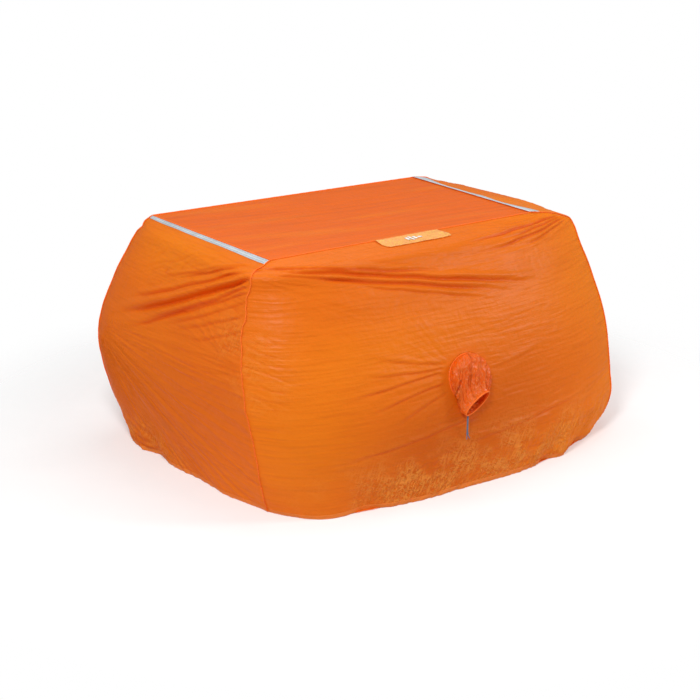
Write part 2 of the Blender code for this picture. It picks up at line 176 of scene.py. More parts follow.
def blur(rows, spread):
    """Gaussian blur along the last axis that keeps both ends of each row where they are."""
    reach = int(4 * spread) + 1
    weights = np.exp(-0.5 * (np.arange(-reach, reach + 1) / spread) ** 2)
    weights /= weights.sum()
    first, last = rows[..., :1], rows[..., -1:]
    line = first + (last - first) * np.linspace(0.0, 1.0, rows.shape[-1])
    extra = rows - line
    odd = np.concatenate([-extra[..., reach:0:-1], extra, -extra[..., -2:-reach - 2:-1]], axis=-1)
    soft = np.apply_along_axis(np.convolve, -1, odd, weights, mode="valid")
    return line + soft


# --- Reading the CAD frame ----------------------------------------------------------------------------

def box(node):
    """A CAD node's lowest and highest corners."""
    low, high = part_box(node)
    return np.array(low), np.array(high)


def collar_circle():
    """Centre of the vent's collar and its radius, across the front."""
    low, high = box("vent_collar")
    return (low + high) / 2, (high[0] - low[0]) / 2


def node_points(node):
    """A CAD node's own points."""
    return np.array([vertex.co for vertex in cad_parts[node].data.vertices], float)


def node_tree(node):
    """A CAD node's faces, for casting rays at."""
    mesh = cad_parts[node].data
    return BVHTree.FromPolygons([v.co for v in mesh.vertices], [tuple(p.vertices) for p in mesh.polygons])


def row_ends(points, along):
    """Heights of a panel's rows of points, and the first and last point of each row."""
    points = np.unique(points.round(5), axis=0)
    heights, counts = np.unique(points[:, 2], return_counts=True)
    heights = heights[counts >= 0.75 * counts[-1]]
    starts, ends = [], []
    for height in heights:
        row = points[points[:, 2] == height]
        order = row @ along
        starts.append(row[order.argmin()])
        ends.append(row[order.argmax()])
    return heights, np.array(starts), np.array(ends)


class Wall:
    """A wall's smooth outer face, read from its CAD panel and sampled on a fine grid."""

    def __init__(self, side):
        self.side = side
        heights, starts, ends = row_ends(node_points(PANELS[side]), ALONG[side])
        bulges = self.read_bulges(heights, starts, ends)
        order = slice(None, None, -1)
        heights, starts, ends, bulges = heights[order], starts[order], ends[order], bulges[order]
        middle = (starts + ends) / 2 + self.outward(starts, ends) * bulges[:, [SAMPLES_ALONG // 2]]
        steps = np.linalg.norm(np.diff(middle, axis=0), axis=1)
        knots = np.concatenate([[0.0], np.cumsum(steps)])
        self.length = float(np.linalg.norm(ends - starts, axis=1).mean())
        self.depth = float(knots[-1])
        self.drops = np.linspace(0.0, self.depth, int(self.depth / CELL[side]) + 1)
        self.shares = np.linspace(0.0, 1.0, int(self.length / CELL[side]) + 1)
        starts = hermite(knots, starts, self.drops)
        ends = hermite(knots, ends, self.drops)
        bulges = hermite(knots, bulges, self.drops)
        read_at = np.linspace(0.0, 1.0, SAMPLES_ALONG)
        bulges = np.array([np.interp(self.shares, read_at, row) for row in bulges])
        chord = ends - starts
        self.points = (starts[:, None] + chord[:, None] * self.shares[None, :, None]
                       + self.outward(starts, ends)[:, None] * bulges[..., None])
        self.normals = grid_normals(self.points)
        self.along, self.drop = np.meshgrid(self.shares * self.length, self.drops)
        self.from_start = self.along
        self.from_end = self.length - self.along
        self.crease_shade = np.zeros(self.along.shape)

    def outward(self, starts, ends):
        """Level unit vectors that point out of the wall, square to the line between its ends."""
        chord = unit(ends - starts)
        return unit(np.stack([chord[:, 1], -chord[:, 0], np.zeros(len(chord))], axis=1))

    def read_bulges(self, heights, starts, ends):
        """How far the CAD panel stands out from the line between a row's ends, all along each row."""
        tree = node_tree(PANELS[self.side])
        outward = self.outward(starts, ends)
        shares = np.linspace(0.0, 1.0, SAMPLES_ALONG)
        hole_middle, hole_radius = collar_circle()
        rows = []
        for height, start, end, out in zip(heights, starts, ends, outward):
            level = min(max(height, 0.0001), heights[-1] - 0.0001)
            known, bulge = [0.0], [0.0]
            for share in shares[1:-1]:
                place = start + (end - start) * share
                place[2] = level
                hit = tree.ray_cast(Vector(place + out), Vector(-out))[0]
                if hit is None:
                    continue
                off_hole = np.hypot(hit[0] - hole_middle[0], level - hole_middle[2])
                if self.side != "front" or off_hole > hole_radius + HOLE_MARGIN:
                    known.append(share)
                    bulge.append(float((np.array(hit) - place) @ out))
            rows.append(np.interp(shares, known + [1.0], bulge + [0.0]))
        spread = SMOOTHING / np.linalg.norm(ends - starts, axis=1).mean() * (SAMPLES_ALONG - 1)
        return blur(np.array(rows), spread)

    def spot(self, place):
        """Share and drop of the grid point nearest to a place given as (x or y, height)."""
        line = self.points @ np.abs(ALONG[self.side])
        gap = (line - place[0]) ** 2 + (self.points[..., 2] - place[1]) ** 2
        row, column = np.unravel_index(gap.argmin(), gap.shape)
        return np.array((self.along[row, column], self.drop[row, column]))

    def sample(self, grid, along, drop):
        """A grid of values read at places between its points."""
        column = np.clip(along / self.length, 0.0, 1.0) * (len(self.shares) - 1)
        row = np.clip(drop / self.depth, 0.0, 1.0) * (len(self.drops) - 1)
        left = np.minimum(column.astype(int), len(self.shares) - 2)
        top = np.minimum(row.astype(int), len(self.drops) - 2)
        x, y = (column - left)[..., None], (row - top)[..., None]
        upper = grid[top, left] * (1 - x) + grid[top, left + 1] * x
        lower = grid[top + 1, left] * (1 - x) + grid[top + 1, left + 1] * x
        return upper * (1 - y) + lower * y


def run_share(edge):
    """Share of an edge's length that lies above each of its points."""
    run = np.concatenate([[0.0], np.cumsum(np.linalg.norm(np.diff(edge, axis=0), axis=1))])
    return run / run[-1]


def grid_normals(points):
    """Outward unit normals of a wall grid whose rows run downwards."""
    return unit(np.cross(np.gradient(points, axis=0), np.gradient(points, axis=1)))


# --- Meshes -------------------------------------------------------------------------------------------

def add_mesh(name, shape, looks, body, *nodes, face_looks=None, uvs=None, tone=None, shade_in_creases=None):
    """New smooth-shaded piece that rides on a body and stands for CAD nodes, with uvs in metres of cloth.

    Its shape is points and faces, and face_looks gives each face's look where it has several.
    """
    points, faces = shape
    mesh = bpy.data.meshes.new(name)
    mesh.from_pydata([tuple(point) for point in points], [], [tuple(face) for face in faces])
    for look in looks:
        mesh.materials.append(LOOKS[look])
    if face_looks is not None:
        mesh.polygons.foreach_set("material_index", np.array(face_looks, np.int32))
    if uvs is not None:
        layer = mesh.uv_layers.new(name="cloth")
        loops = np.empty(len(mesh.loops), np.int32)
        mesh.loops.foreach_get("vertex_index", loops)
        layer.data.foreach_set("uv", np.asarray(uvs, np.float32)[loops].ravel())
    if tone is not None:
        colours = np.concatenate([tone, np.ones((len(tone), 1))], axis=1)
        mesh.attributes.new("tone", "FLOAT_COLOR", "POINT").data.foreach_set("color", colours.ravel())
    if shade_in_creases is not None:
        mesh.attributes.new("shade_in_creases", "FLOAT", "POINT").data.foreach_set("value", shade_in_creases.ravel())
    mesh.shade_smooth()
    mesh.update()
    return add_piece(name, mesh, looks[0], body, *nodes)


def add_piece(name, data, look, body, *nodes):
    """Object of a mesh or curve, tied to its body and CAD nodes; its look is not used."""
    piece = bpy.data.objects.new(name, data)
    bpy.context.scene.collection.objects.link(piece)
    if body:
        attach(piece, body)
    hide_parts(*nodes)
    return piece


def grid_faces(rows, columns, ring=False):
    """Faces of a grid of points; ring joins each row's end to its start."""
    index = np.arange(rows * columns).reshape(rows, columns)
    if ring:
        index = np.concatenate([index, index[:, :1]], axis=1)
    corners = index[:-1, :-1], index[1:, :-1], index[1:, 1:], index[:-1, 1:]
    return np.stack([corner.ravel() for corner in corners], axis=1)


def grid_shape(points, ring=False):
    """Points and faces of a grid of points."""
    return points.reshape(-1, 3), grid_faces(*points.shape[:2], ring)


def slab(upper, lower):
    """Points and faces of a closed solid between two equal grids of points."""
    rows, columns = upper.shape[:2]
    count = rows * columns
    top = grid_faces(rows, columns)
    index = np.arange(count).reshape(rows, columns)
    rim = np.concatenate([index[0, :-1], index[:-1, -1], index[-1, :0:-1], index[:0:-1, 0]])
    after = np.roll(rim, -1)
    sides = np.stack([rim, after, after + count, rim + count], axis=1)
    faces = np.concatenate([top, top[:, ::-1] + count, sides])
    return np.concatenate([upper.reshape(-1, 3), lower.reshape(-1, 3)]), faces


def sweep(path, radius, sides=10):
    """Points and faces of a closed round rod along a path."""
    tangent = unit(np.gradient(path, axis=0))
    reference = np.where(np.abs(tangent[:, 2:]) < 0.9, UP, np.array((0.0, 1.0, 0.0)))
    first = unit(np.cross(tangent, reference))
    for row in range(1, len(first)):
        carried = first[row - 1] - tangent[row] * (first[row - 1] @ tangent[row])
        first[row] = carried / np.linalg.norm(carried)
    second = np.cross(tangent, first)
    angles = np.arange(sides) * 2 * math.pi / sides
    ring = first[:, None] * np.cos(angles)[None, :, None] + second[:, None] * np.sin(angles)[None, :, None]
    points = (path[:, None] + ring * np.broadcast_to(radius, len(path))[:, None, None]).reshape(-1, 3)
    faces = [tuple(face) for face in grid_faces(len(path), sides, ring=True)]
    last = (len(path) - 1) * sides
    faces.append(tuple(range(sides)))
    faces.append(tuple(range(last + sides - 1, last - 1, -1)))
    return points, faces


# --- Materials ----------------------------------------------------------------------------------------

class Nodes:
    """A new material, with short names for adding and linking its shader nodes."""

    def __init__(self, name):
        self.material = bpy.data.materials.new(name)
        self.material.use_nodes = True
        self.tree = self.material.node_tree
        self.shader = self.tree.nodes["Principled BSDF"]

    def add(self, kind, **settings):
        """A new node with its settings."""
        node = self.tree.nodes.new(kind)
        for key, value in settings.items():
            setattr(node, key, value)
        return node

    def put(self, value, socket):
        """Links a socket to an output, or sets it to a number or a colour."""
        if isinstance(value, bpy.types.NodeSocket):
            self.tree.links.new(value, socket)
        else:
            socket.default_value = (*value, 1.0) if isinstance(value, tuple) else value

    def finish(self, base, roughness, specular=0.5, normal=None):
        """Fills in the main shader."""
        values = {"Base Color": base, "Roughness": roughness, "Specular IOR Level": specular}
        if normal:
            values["Normal"] = normal
        for name, value in values.items():
            self.put(value, self.shader.inputs[name])

    def mix_in(self, other, factor):
        """Puts another shader over the main one, by a factor."""
        mix = self.add("ShaderNodeMixShader")
        self.put(factor, mix.inputs[0])
        self.put(self.shader.outputs[0], mix.inputs[1])
        self.put(other.outputs[0], mix.inputs[2])
        self.put(mix.outputs[0], self.tree.nodes["Material Output"].inputs["Surface"])

    def let_light_through(self, glow, factor, normal=None):
        """Light that comes through thin cloth from behind."""
        through = self.add("ShaderNodeBsdfTranslucent")
        self.put(glow, through.inputs["Color"])
        if normal:
            self.put(normal, through.inputs["Normal"])
        self.mix_in(through, factor)

    def coordinates(self, uv=None):
        """Places in a uv layer, or in the piece's own axes."""
        if uv:
            return self.add("ShaderNodeUVMap", uv_map=uv).outputs["UV"]
        return self.add("ShaderNodeTexCoord").outputs["Object"]

    def attribute(self, name, output="Fac"):
        """A value that the mesh holds at each of its points."""
        return self.add("ShaderNodeAttribute", attribute_name=name).outputs[output]

    def mapped(self, source, name, value):
        """Coordinates scaled or turned."""
        node = self.add("ShaderNodeMapping")
        node.inputs[name].default_value = value
        self.put(source, node.inputs["Vector"])
        return node.outputs["Vector"]

    def noise(self, scale, detail=3.0, stretch=None, source=None):
        """Noise from 0 to 1, finer with a greater scale or stretch."""
        node = self.add("ShaderNodeTexNoise")
        node.inputs["Scale"].default_value = scale
        node.inputs["Detail"].default_value = detail
        source = source or self.coordinates()
        self.put(self.mapped(source, "Scale", stretch) if stretch else source, node.inputs["Vector"])
        return node.outputs["Fac"]

    def ramp(self, factor, low, high, start=0.35, end=0.65):
        """A colour that goes from low to high as a factor goes from start to end."""
        node = self.add("ShaderNodeValToRGB")
        for element, place, colour in zip(node.color_ramp.elements, (start, end), (low, high)):
            element.position = place
            element.color = (*colour, 1.0)
        self.put(factor, node.inputs["Fac"])
        return node.outputs["Color"]

    def mix_colour(self, factor, first, second):
        """The first colour at factor 0 and the second at 1."""
        node = self.add("ShaderNodeMix", data_type="RGBA")
        for value, socket in ((factor, node.inputs[0]), (first, node.inputs[6]), (second, node.inputs[7])):
            self.put(value, socket)
        return node.outputs[2]

    def math(self, operation, first, second):
        """Sum, product or the like of two values."""
        node = self.add("ShaderNodeMath", operation=operation)
        self.put(first, node.inputs[0])
        self.put(second, node.inputs[1])
        return node.outputs[0]

    def shade(self, factor, low, high, most):
        """A factor that grows from 0 at low to most at high."""
        node = self.add("ShaderNodeMapRange", interpolation_type="SMOOTHSTEP")
        for name, value in (("From Min", low), ("From Max", high), ("To Max", most), ("Value", factor)):
            self.put(value, node.inputs[name])
        return node.outputs[0]

    def lines(self, scale, stretch, turn, thickness, source):
        """Thin wandering lines, 1 on a line and 0 away from it."""
        turned = self.mapped(source, "Rotation", (0.0, 0.0, turn))
        fine = self.noise(scale, 2.0, (1.0, stretch, 1.0), turned)
        away = self.math("ABSOLUTE", self.math("SUBTRACT", fine, 0.5), 0.0)
        return self.math("SUBTRACT", 1.0, self.shade(away, 0.0, thickness, 1.0))

    def bump(self, height, distance, strength, normal=None):
        """Normal tilted by a height, on top of another bump's normal if given."""
        node = self.add("ShaderNodeBump")
        for name, value in (("Strength", strength), ("Distance", distance), ("Height", height)):
            self.put(value, node.inputs[name])
        if normal:
            self.put(normal, node.inputs["Normal"])
        return node.outputs["Normal"]


def scaled(colour, share):
    """A colour made darker."""
    return tuple(channel * share for channel in colour)


def cloth_material(name, colour, glow, see_through=0.40):
    """Thin coated nylon: a soft shine over a body colour, and light that comes through from behind.

    One attribute of the piece gives a painted glow of light through the cloth (red), painted shade (green)
    and where crackle lines with painted highlights lie (blue); another gives painted shade in its creases.
    """
    nodes = Nodes(name)
    cloth = nodes.coordinates("cloth")
    tone = nodes.add("ShaderNodeSeparateColor")
    nodes.put(nodes.attribute("tone", "Color"), tone.inputs["Color"])
    streak = nodes.noise(1.0, 4.0, (5.0, 80.0, 1.0), cloth)
    crossed = nodes.math("MAXIMUM", nodes.lines(15.0, 5.0, 1.20, 0.085, cloth),
                         nodes.lines(22.0, 3.6, -0.50, 0.055, cloth))
    patchy = nodes.shade(nodes.noise(7.0, 2.0, None, cloth), 0.36, 0.56, 1.0)
    lines = nodes.math("MULTIPLY", nodes.math("MULTIPLY", crossed, patchy), tone.outputs["Blue"])

    body = nodes.ramp(nodes.noise(2.2, 2.0), scaled(colour, 0.96), colour)
    layers = (
        # painted glow of light coming through the cloth, in a yellower orange
        (tone.outputs["Red"], (1.0, 0.310, 0.010)),
        # painted shade: a darker copy of the body colour
        (tone.outputs["Green"], scaled(colour, 0.60)),
        # painted shade along the streaks, which are bumped as well
        (nodes.shade(streak, 0.46, 0.68, 0.22), scaled(colour, 0.62)),
        # painted highlights: a paler colour on the crackle lines, which are also bumped
        (nodes.math("MULTIPLY", lines, 0.85), (1.0, 0.46, 0.075)),
        # painted shade in the creases
        (nodes.shade(nodes.attribute("shade_in_creases"), 0.10, 1.0, 0.68), (0.64, 0.078, 0.002)),
    )
    for factor, layer in layers:
        body = nodes.mix_colour(factor, body, layer)

    rough = nodes.add("ShaderNodeMapRange")
    for socket, value in (("To Min", 0.33), ("To Max", 0.49), ("Value", nodes.noise(9.0))):
        nodes.put(value, rough.inputs[socket])
    normal = None
    for height in (nodes.noise(34.0, 3.0), streak, lines):
        normal = nodes.bump(height, 0.0030, 0.8, normal)
    nodes.finish(body, rough.outputs[0], 0.20, normal)
    nodes.let_light_through(glow, see_through, normal)
    return nodes.material


def film_material(name, colour, glow, roughness, see_through, crumple):
    """Crumpled glossy coated cloth of the small pieces, with painted highlights along its crumple lines."""
    nodes = Nodes(name)
    cloth = nodes.coordinates("cloth")
    folds = nodes.math("MAXIMUM", nodes.lines(30.0, 2.2, 0.9, 0.05, cloth),
                       nodes.lines(36.0, 1.8, -0.7, 0.045, cloth))
    body = nodes.ramp(nodes.noise(35.0, 3.0), scaled(colour, 0.88), colour)
    # painted highlight: a paler colour laid along the crumple lines
    edge = (1.0, min(colour[1] * 2.6, 0.80), 0.09)
    body = nodes.mix_colour(nodes.math("MULTIPLY", folds, 0.34), body, edge)
    nodes.finish(body, roughness, 0.45, nodes.bump(folds, crumple, 0.9))
    nodes.let_light_through(glow, see_through)
    return nodes.material


def woven_material(name, colour, roughness):
    """Opaque woven trim: binding, print, cord."""
    nodes = Nodes(name)
    grain = nodes.ramp(nodes.noise(225.0, 3.0), scaled(colour, 0.78), colour)
    nodes.finish(grain, roughness, 0.25, nodes.bump(nodes.noise(900.0, 2.0), 0.0002, 0.8))
    nodes.shader.inputs["Sheen Weight"].default_value = 0.05
    return nodes.material


def tape_material(name, colour, roughness):
    """Glass-bead reflective tape with faint handling marks."""
    nodes = Nodes(name)
    marks = nodes.ramp(nodes.noise(14.0, 5.0), scaled(colour, 0.86), colour, 0.4, 0.6)
    nodes.finish(marks, roughness, normal=nodes.bump(nodes.noise(2500.0, 1.0), 0.00008, 0.5))
    nodes.shader.inputs["Metallic"].default_value = 0.25
    return nodes.material


LOOKS = {
    "wall": cloth_material("wall_nylon", (0.90, 0.225, 0.010), (1.0, 0.30, 0.006)),
    "roof": cloth_material("roof_nylon", (0.90, 0.175, 0.008), (0.98, 0.22, 0.006), see_through=0.3),
    "vent": film_material("vent_nylon", (1.0, 0.155, 0.001), (1.0, 0.20, 0.002), 0.28, 0.34, 0.0014),
    "flap": film_material("flap_nylon", (1.0, 0.43, 0.125), (1.0, 0.48, 0.12), 0.45, 0.2, 0.0010),
    "hem": film_material("hem_nylon", (0.92, 0.200, 0.010), (1.0, 0.26, 0.006), 0.45, 0.40, 0.0003),
    "binding": woven_material("seam_binding", (1.0, 0.180, 0.012), 0.7),
    "print": woven_material("white_print", (0.88, 0.86, 0.82), 0.5),
    "cord": woven_material("drawcord", (0.16, 0.21, 0.29), 0.75),
    "tape": tape_material("reflective_tape", (0.62, 0.68, 0.72), 0.42),
    "tape_line": tape_material("tape_line", (0.36, 0.42, 0.48), 0.5),
}


# --- Wrinkles -----------------------------------------------------------------------------------------
# A wall's wrinkles are how far its cloth moves out along its normal, over its grid. Folds and sunk lines
# also mark the wall's creases, from 0 to 1, where the material paints shade.

def fold(wall, start, end, depth, width, bow):
    """A ridge with a sharp valley under it, from start to end, each given as (x or y, height)."""
    first, last = wall.spot(start), wall.spot(end)
    line = last - first
    length = np.linalg.norm(line)
    forward = line / length
    sideways = np.array((-forward[1], forward[0]))
    if sideways[1] < 0:
        sideways = -sideways
    offset = np.stack([wall.along - first[0], wall.drop - first[1]], axis=-1)
    share = offset @ forward / length
    inside = np.clip(share, 0.0, 1.0)
    wave = 0.006 * noise(share * length / 0.16, share * 0 + depth * 900, 77)
    across = offset @ sideways - bow * 4 * inside * (1 - inside) - wave
    taper = smooth_step(-0.06, 0.12, share) * (1.0 - smooth_step(0.65, 1.06, share))
    size = width * (0.55 + 0.6 * inside)
    ridge = np.exp(-0.5 * ((across + 0.8 * size) / (0.75 * size)) ** 2)
    valley = np.exp(-0.5 * ((across - 0.3 * size) / np.clip(0.50 * size, 0.0050, 0.0075)) ** 2)
    # painted shade in the fold's valley
    wall.crease_shade = np.maximum(wall.crease_shade, min(depth / 0.008, 1.0) * taper * valley ** 1.3)
    return depth * taper * (ridge - 0.9 * valley)


def fan(wall, centre, near, far, spacing, seed, facing=None, spread=1.0):
    """Fine creases that radiate from a centre between two distances, with a spacing at the far one."""
    middle = wall.spot(centre)
    x, y = wall.along - middle[0], wall.drop - middle[1]
    distance = np.hypot(x, y)
    angle = np.arctan2(y, x)
    lines = creased_noise(angle * far / spacing / 2, distance / (far * 0.9), seed)
    lines = lines + 0.5 * creased_noise(angle * far / spacing, distance / (far * 0.5), seed + 1)
    mask = smooth_step(near * 0.4, near, distance) * (1.0 - smooth_step(far * 0.55, far, distance))
    if facing is not None:
        turn = np.abs((angle - facing + math.pi) % (2 * math.pi) - math.pi)
        mask = mask * (1.0 - smooth_step(0.45 * spread, spread, turn))
    return lines * mask


def sunk_lines(wall, depth, angle, length, width, seed, mask):
    """Narrow creases that sink into the cloth, one way, with painted shade along them."""
    lines = (streaks(wall, angle, length, width, seed) + 0.25) ** 2
    wall.crease_shade = np.maximum(wall.crease_shade, 0.55 * lines * mask)
    return -depth * lines * mask


def streaks(wall, angle, length, width, seed, warp=0.02):
    """Creases that run one way: angle is from the wall's long direction, positive downwards."""
    bent = warp * noise(wall.along / 0.22, wall.drop / 0.22, seed + 7)
    x = wall.along * math.cos(angle) + wall.drop * math.sin(angle)
    y = -wall.along * math.sin(angle) + wall.drop * math.cos(angle) + bent
    return creased_noise(x / length, y / width, seed) - 0.25


def puckers(wall, distance, seed, pitch=0.030, reach=0.055):
    """Short creases square to a seam, fading with the distance from it."""
    swell = 0.6 + 0.4 * noise(wall.drop / 0.15, distance * 0 + 3.3, seed + 2)
    lines = noise(wall.drop / pitch, distance / 0.16, seed) + 0.6 * noise(wall.drop / (pitch * 0.45),
                                                                          distance / 0.10, seed + 1)
    return lines * swell * np.exp(-distance / reach) * smooth_step(0.0, 0.012, distance)


def patch(wall, centre, size):
    """Soft round mask; size is its half-width along and down the wall."""
    middle = wall.spot(centre)
    away = np.hypot((wall.along - middle[0]) / size[0], (wall.drop - middle[1]) / size[1])
    return 1.0 - smooth_step(0.35, 1.0, away)


def foot_push(wall, *places):
    """Moves the foot of the wall out or in round each place, given as (x or y, distance, half-width)."""
    line = wall.points[-1] @ np.abs(ALONG[wall.side])
    foot = np.exp(-((wall.depth - wall.drop) / 0.10) ** 2)
    return sum(push * foot * np.exp(-((line[None] - place) / size) ** 2) for place, push, size in places)


def common_wrinkles(wall, seed):
    """Slow swells, seam puckers, and a fine crinkle all over."""
    depth = wall.depth
    swells = 0.0040 * noise(wall.along / 0.42, wall.drop / 0.24, seed)
    swells += 0.0018 * noise(wall.along / 0.17, wall.drop / 0.085, seed + 1)
    fine = 0.0010 * streaks(wall, 0.03, 0.50, 0.019, seed + 2)
    fine += 0.0004 * noise(wall.along / 0.028, wall.drop / 0.018, seed + 3)
    seams = 0.0048 * (puckers(wall, wall.from_start, seed + 4) + puckers(wall, wall.from_end, seed + 5))
    top = 0.0010 * noise(wall.along / 0.028, wall.drop / 0.09, seed + 6) * np.exp(-wall.drop / 0.035)
    foot = depth - wall.drop
    hem = 0.0100 * noise(wall.along / 0.16, foot / 0.35, seed + 8) * np.exp(-foot / 0.09)
    hem += 0.0022 * noise(wall.along / 0.030, foot / 0.12, seed + 9) * np.exp(-foot / 0.04)
    return swells + fine + seams + top + hem


def basic_wrinkles(wall, seed, folds):
    """The wrinkles that every wall has, and a wall's own folds: start, end, depth, width and bow."""
    total = common_wrinkles(wall, seed)
    for row in folds:
        total += fold(wall, *row)
    return total


def front_wrinkles(wall):
    """Tension folds from the upper corners, the pull round the vent, and the crinkled lower third."""
    folds = [
        ((-0.78, 0.968), (0.02, 0.868), 0.0085, 0.014, 0.004),
        ((-0.72, 0.958), (0.54, 0.752), 0.0110, 0.016, 0.002),
        ((-0.60, 0.926), (0.32, 0.758), 0.0095, 0.014, -0.003),
        ((-0.76, 0.950), (-0.30, 0.880), 0.0050, 0.009, 0.004),
        ((-0.40, 0.870), (0.25, 0.730), 0.0045, 0.010, 0.000),
        ((0.80, 0.966), (0.12, 0.950), 0.0080, 0.011, 0.006),
        ((0.81, 0.962), (0.36, 0.935), 0.0070, 0.009, 0.006),
        ((0.82, 0.956), (0.22, 0.905), 0.0075, 0.011, 0.010),
        ((0.83, 0.950), (0.42, 0.895), 0.0050, 0.012, 0.012),
        ((-0.11, 0.500), (-0.60, 0.470), 0.0050, 0.010, 0.0),
        ((-0.11, 0.515), (-0.52, 0.550), 0.0045, 0.010, 0.006),
        ((-0.11, 0.530), (-0.44, 0.610), 0.0035, 0.012, 0.01),
        ((-0.11, 0.455), (-0.50, 0.400), 0.0050, 0.010, -0.004),
        ((-0.10, 0.420), (-0.40, 0.330), 0.0035, 0.012, -0.004),
        ((0.11, 0.470), (0.45, 0.500), 0.0025, 0.012, 0.0),
        ((0.05, 0.300), (-0.70, 0.215), 0.0040, 0.012, 0.004),
        ((0.60, 0.250), (-0.10, 0.180), 0.0035, 0.012, -0.008),
    ]
    total = basic_wrinkles(wall, 11, folds)
    vent = (-0.003, 0.455)
    total += 0.0028 * fan(wall, vent, 0.10, 0.42, 0.034, 31, facing=math.pi, spread=1.3)
    total += 0.0014 * fan(wall, vent, 0.10, 0.22, 0.030, 37)
    right_corner, left_corner = (0.90, 0.955), (-0.84, 0.945)
    total += 0.0036 * fan(wall, right_corner, 0.05, 0.70, 0.045, 41, facing=math.pi + 0.02, spread=0.32)
    total += 0.0024 * fan(wall, left_corner, 0.04, 0.60, 0.042, 43, facing=0.1, spread=0.7)
    lower = smooth_step(0.55, 0.85, wall.drop / wall.depth)
    inner = smooth_step(0.12, 0.45, wall.along / wall.length)
    total += 0.0022 * lower * inner * streaks(wall, -0.06, 0.45, 0.022, 47)
    right = lower * smooth_step(0.45, 0.75, wall.along / wall.length)
    foot = smooth_step(0.78, 0.92, wall.drop / wall.depth)
    total += 0.0060 * right * foot * streaks(wall, -1.05, 0.10, 0.022, 53)
    middle = patch(wall, (-0.25, 0.05), (0.45, 0.18))
    total += 0.0048 * middle * streaks(wall, -0.75, 0.09, 0.020, 59)
    beside = patch(wall, (-0.87, 0.58), (0.12, 0.24))
    total += 0.0016 * beside * streaks(wall, 0.55, 0.12, 0.024, 61)
    total += sunk_lines(wall, 0.0024, 0.45, 0.13, 0.034, 62, beside)
    top = patch(wall, (-0.10, 0.93), (0.95, 0.12))
    total += sunk_lines(wall, 0.0020, 0.10, 0.50, 0.045, 63, 0.8 * top)
    total += sunk_lines(wall, 0.0026, -0.04, 0.45, 0.040, 64, patch(wall, (0.60, 0.96), (0.38, 0.10)))
    total += foot_push(wall, (-0.72, 0.014, 0.10), (-0.52, -0.026, 0.07), (-0.25, 0.010, 0.10),
                       (0.40, -0.020, 0.05), (0.50, 0.012, 0.04), (0.64, -0.016, 0.05))
    centre, radius = collar_circle()
    from_centre = np.hypot(wall.points[..., 0] - centre[0], wall.points[..., 2] - centre[2])
    return total * smooth_step(0.0, 0.03, from_centre - radius)


def left_wrinkles(wall):
    """Deep fold from the pinched seam across the end, lines above it, and a fan over the lower half."""
    folds = [
        ((-0.385, 0.940), (0.510, 0.607), 0.0220, 0.024, 0.010),
        ((-0.370, 0.915), (0.430, 0.560), 0.0100, 0.018, 0.012),
        ((-0.320, 0.955), (0.473, 0.675), 0.0080, 0.012, 0.008),
        ((-0.260, 0.955), (0.127, 0.836), 0.0070, 0.010, 0.004),
        ((-0.300, 0.968), (0.300, 0.800), 0.0050, 0.010, 0.004),
        ((-0.380, 0.890), (0.250, 0.640), 0.0065, 0.014, 0.010),
        ((-0.385, 0.850), (0.150, 0.640), 0.0050, 0.013, 0.008),
        ((-0.390, 0.800), (0.050, 0.640), 0.0045, 0.012, 0.006),
        ((-0.400, 0.740), (-0.080, 0.630), 0.0040, 0.012, 0.004),
    ]
    total = basic_wrinkles(wall, 111, folds)
    band = patch(wall, (0.02, 0.83), (0.60, 0.22))
    total += 0.0022 * band * streaks(wall, -0.38, 0.50, 0.022, 127)
    total += sunk_lines(wall, 0.0030, -0.36, 0.22, 0.040, 128, patch(wall, (0.05, 0.86), (0.55, 0.17)))
    total += sunk_lines(wall, 0.0026, -0.10, 0.16, 0.036, 129, patch(wall, (-0.33, 0.72), (0.22, 0.26)))
    total += foot_push(wall, (0.42, 0.020, 0.10), (0.26, -0.020, 0.05), (-0.02, -0.012, 0.07),
                       (-0.25, 0.010, 0.08))
    lower = smooth_step(0.30, 0.55, wall.drop / wall.depth)
    total += 0.0046 * lower * fan(wall, (0.66, 0.54), 0.12, 1.45, 0.034, 131, facing=0.5, spread=1.2)
    total += 0.0026 * fan(wall, (-0.50, 0.60), 0.03, 0.50, 0.036, 137, facing=math.pi, spread=1.2)
    total += 0.0100 * patch(wall, (0.36, 0.06), (0.28, 0.12)) * streaks(wall, 0.35, 0.20, 0.045, 149)
    return total


def right_wrinkles(wall):
    """Folds from both upper corners over the end that faces away."""
    folds = [
        ((-0.34, 0.960), (0.40, 0.720), 0.0080, 0.016, 0.010),
        ((0.52, 0.965), (0.22, 0.860), 0.0050, 0.014, 0.004),
        ((-0.42, 0.900), (0.10, 0.560), 0.0040, 0.018, 0.010),
        ((0.62, 0.860), (0.42, 0.560), 0.0035, 0.016, 0.006),
    ]
    total = basic_wrinkles(wall, 211, folds)
    lower = smooth_step(0.45, 0.8, wall.drop / wall.depth)
    total += 0.0036 * fan(wall, (-0.40, 0.93), 0.05, 0.80, 0.045, 231, facing=0.5, spread=1.0)
    total += 0.0026 * fan(wall, (0.62, 0.90), 0.05, 0.50, 0.040, 233, facing=math.pi - 0.7, spread=0.8)
    total += 0.0030 * lower * streaks(wall, 0.35, 0.40, 0.026, 239)
    low_half = smooth_step(0.28, 0.50, wall.drop / wall.depth)
    total += 0.0048 * low_half * fan(wall, (-0.70, 0.56), 0.12, 1.30, 0.038, 241, facing=0.5, spread=1.2)
    total += sunk_lines(wall, 0.0028, 0.36, 0.24, 0.042, 243, patch(wall, (0.10, 0.84), (0.55, 0.18)))
    return total


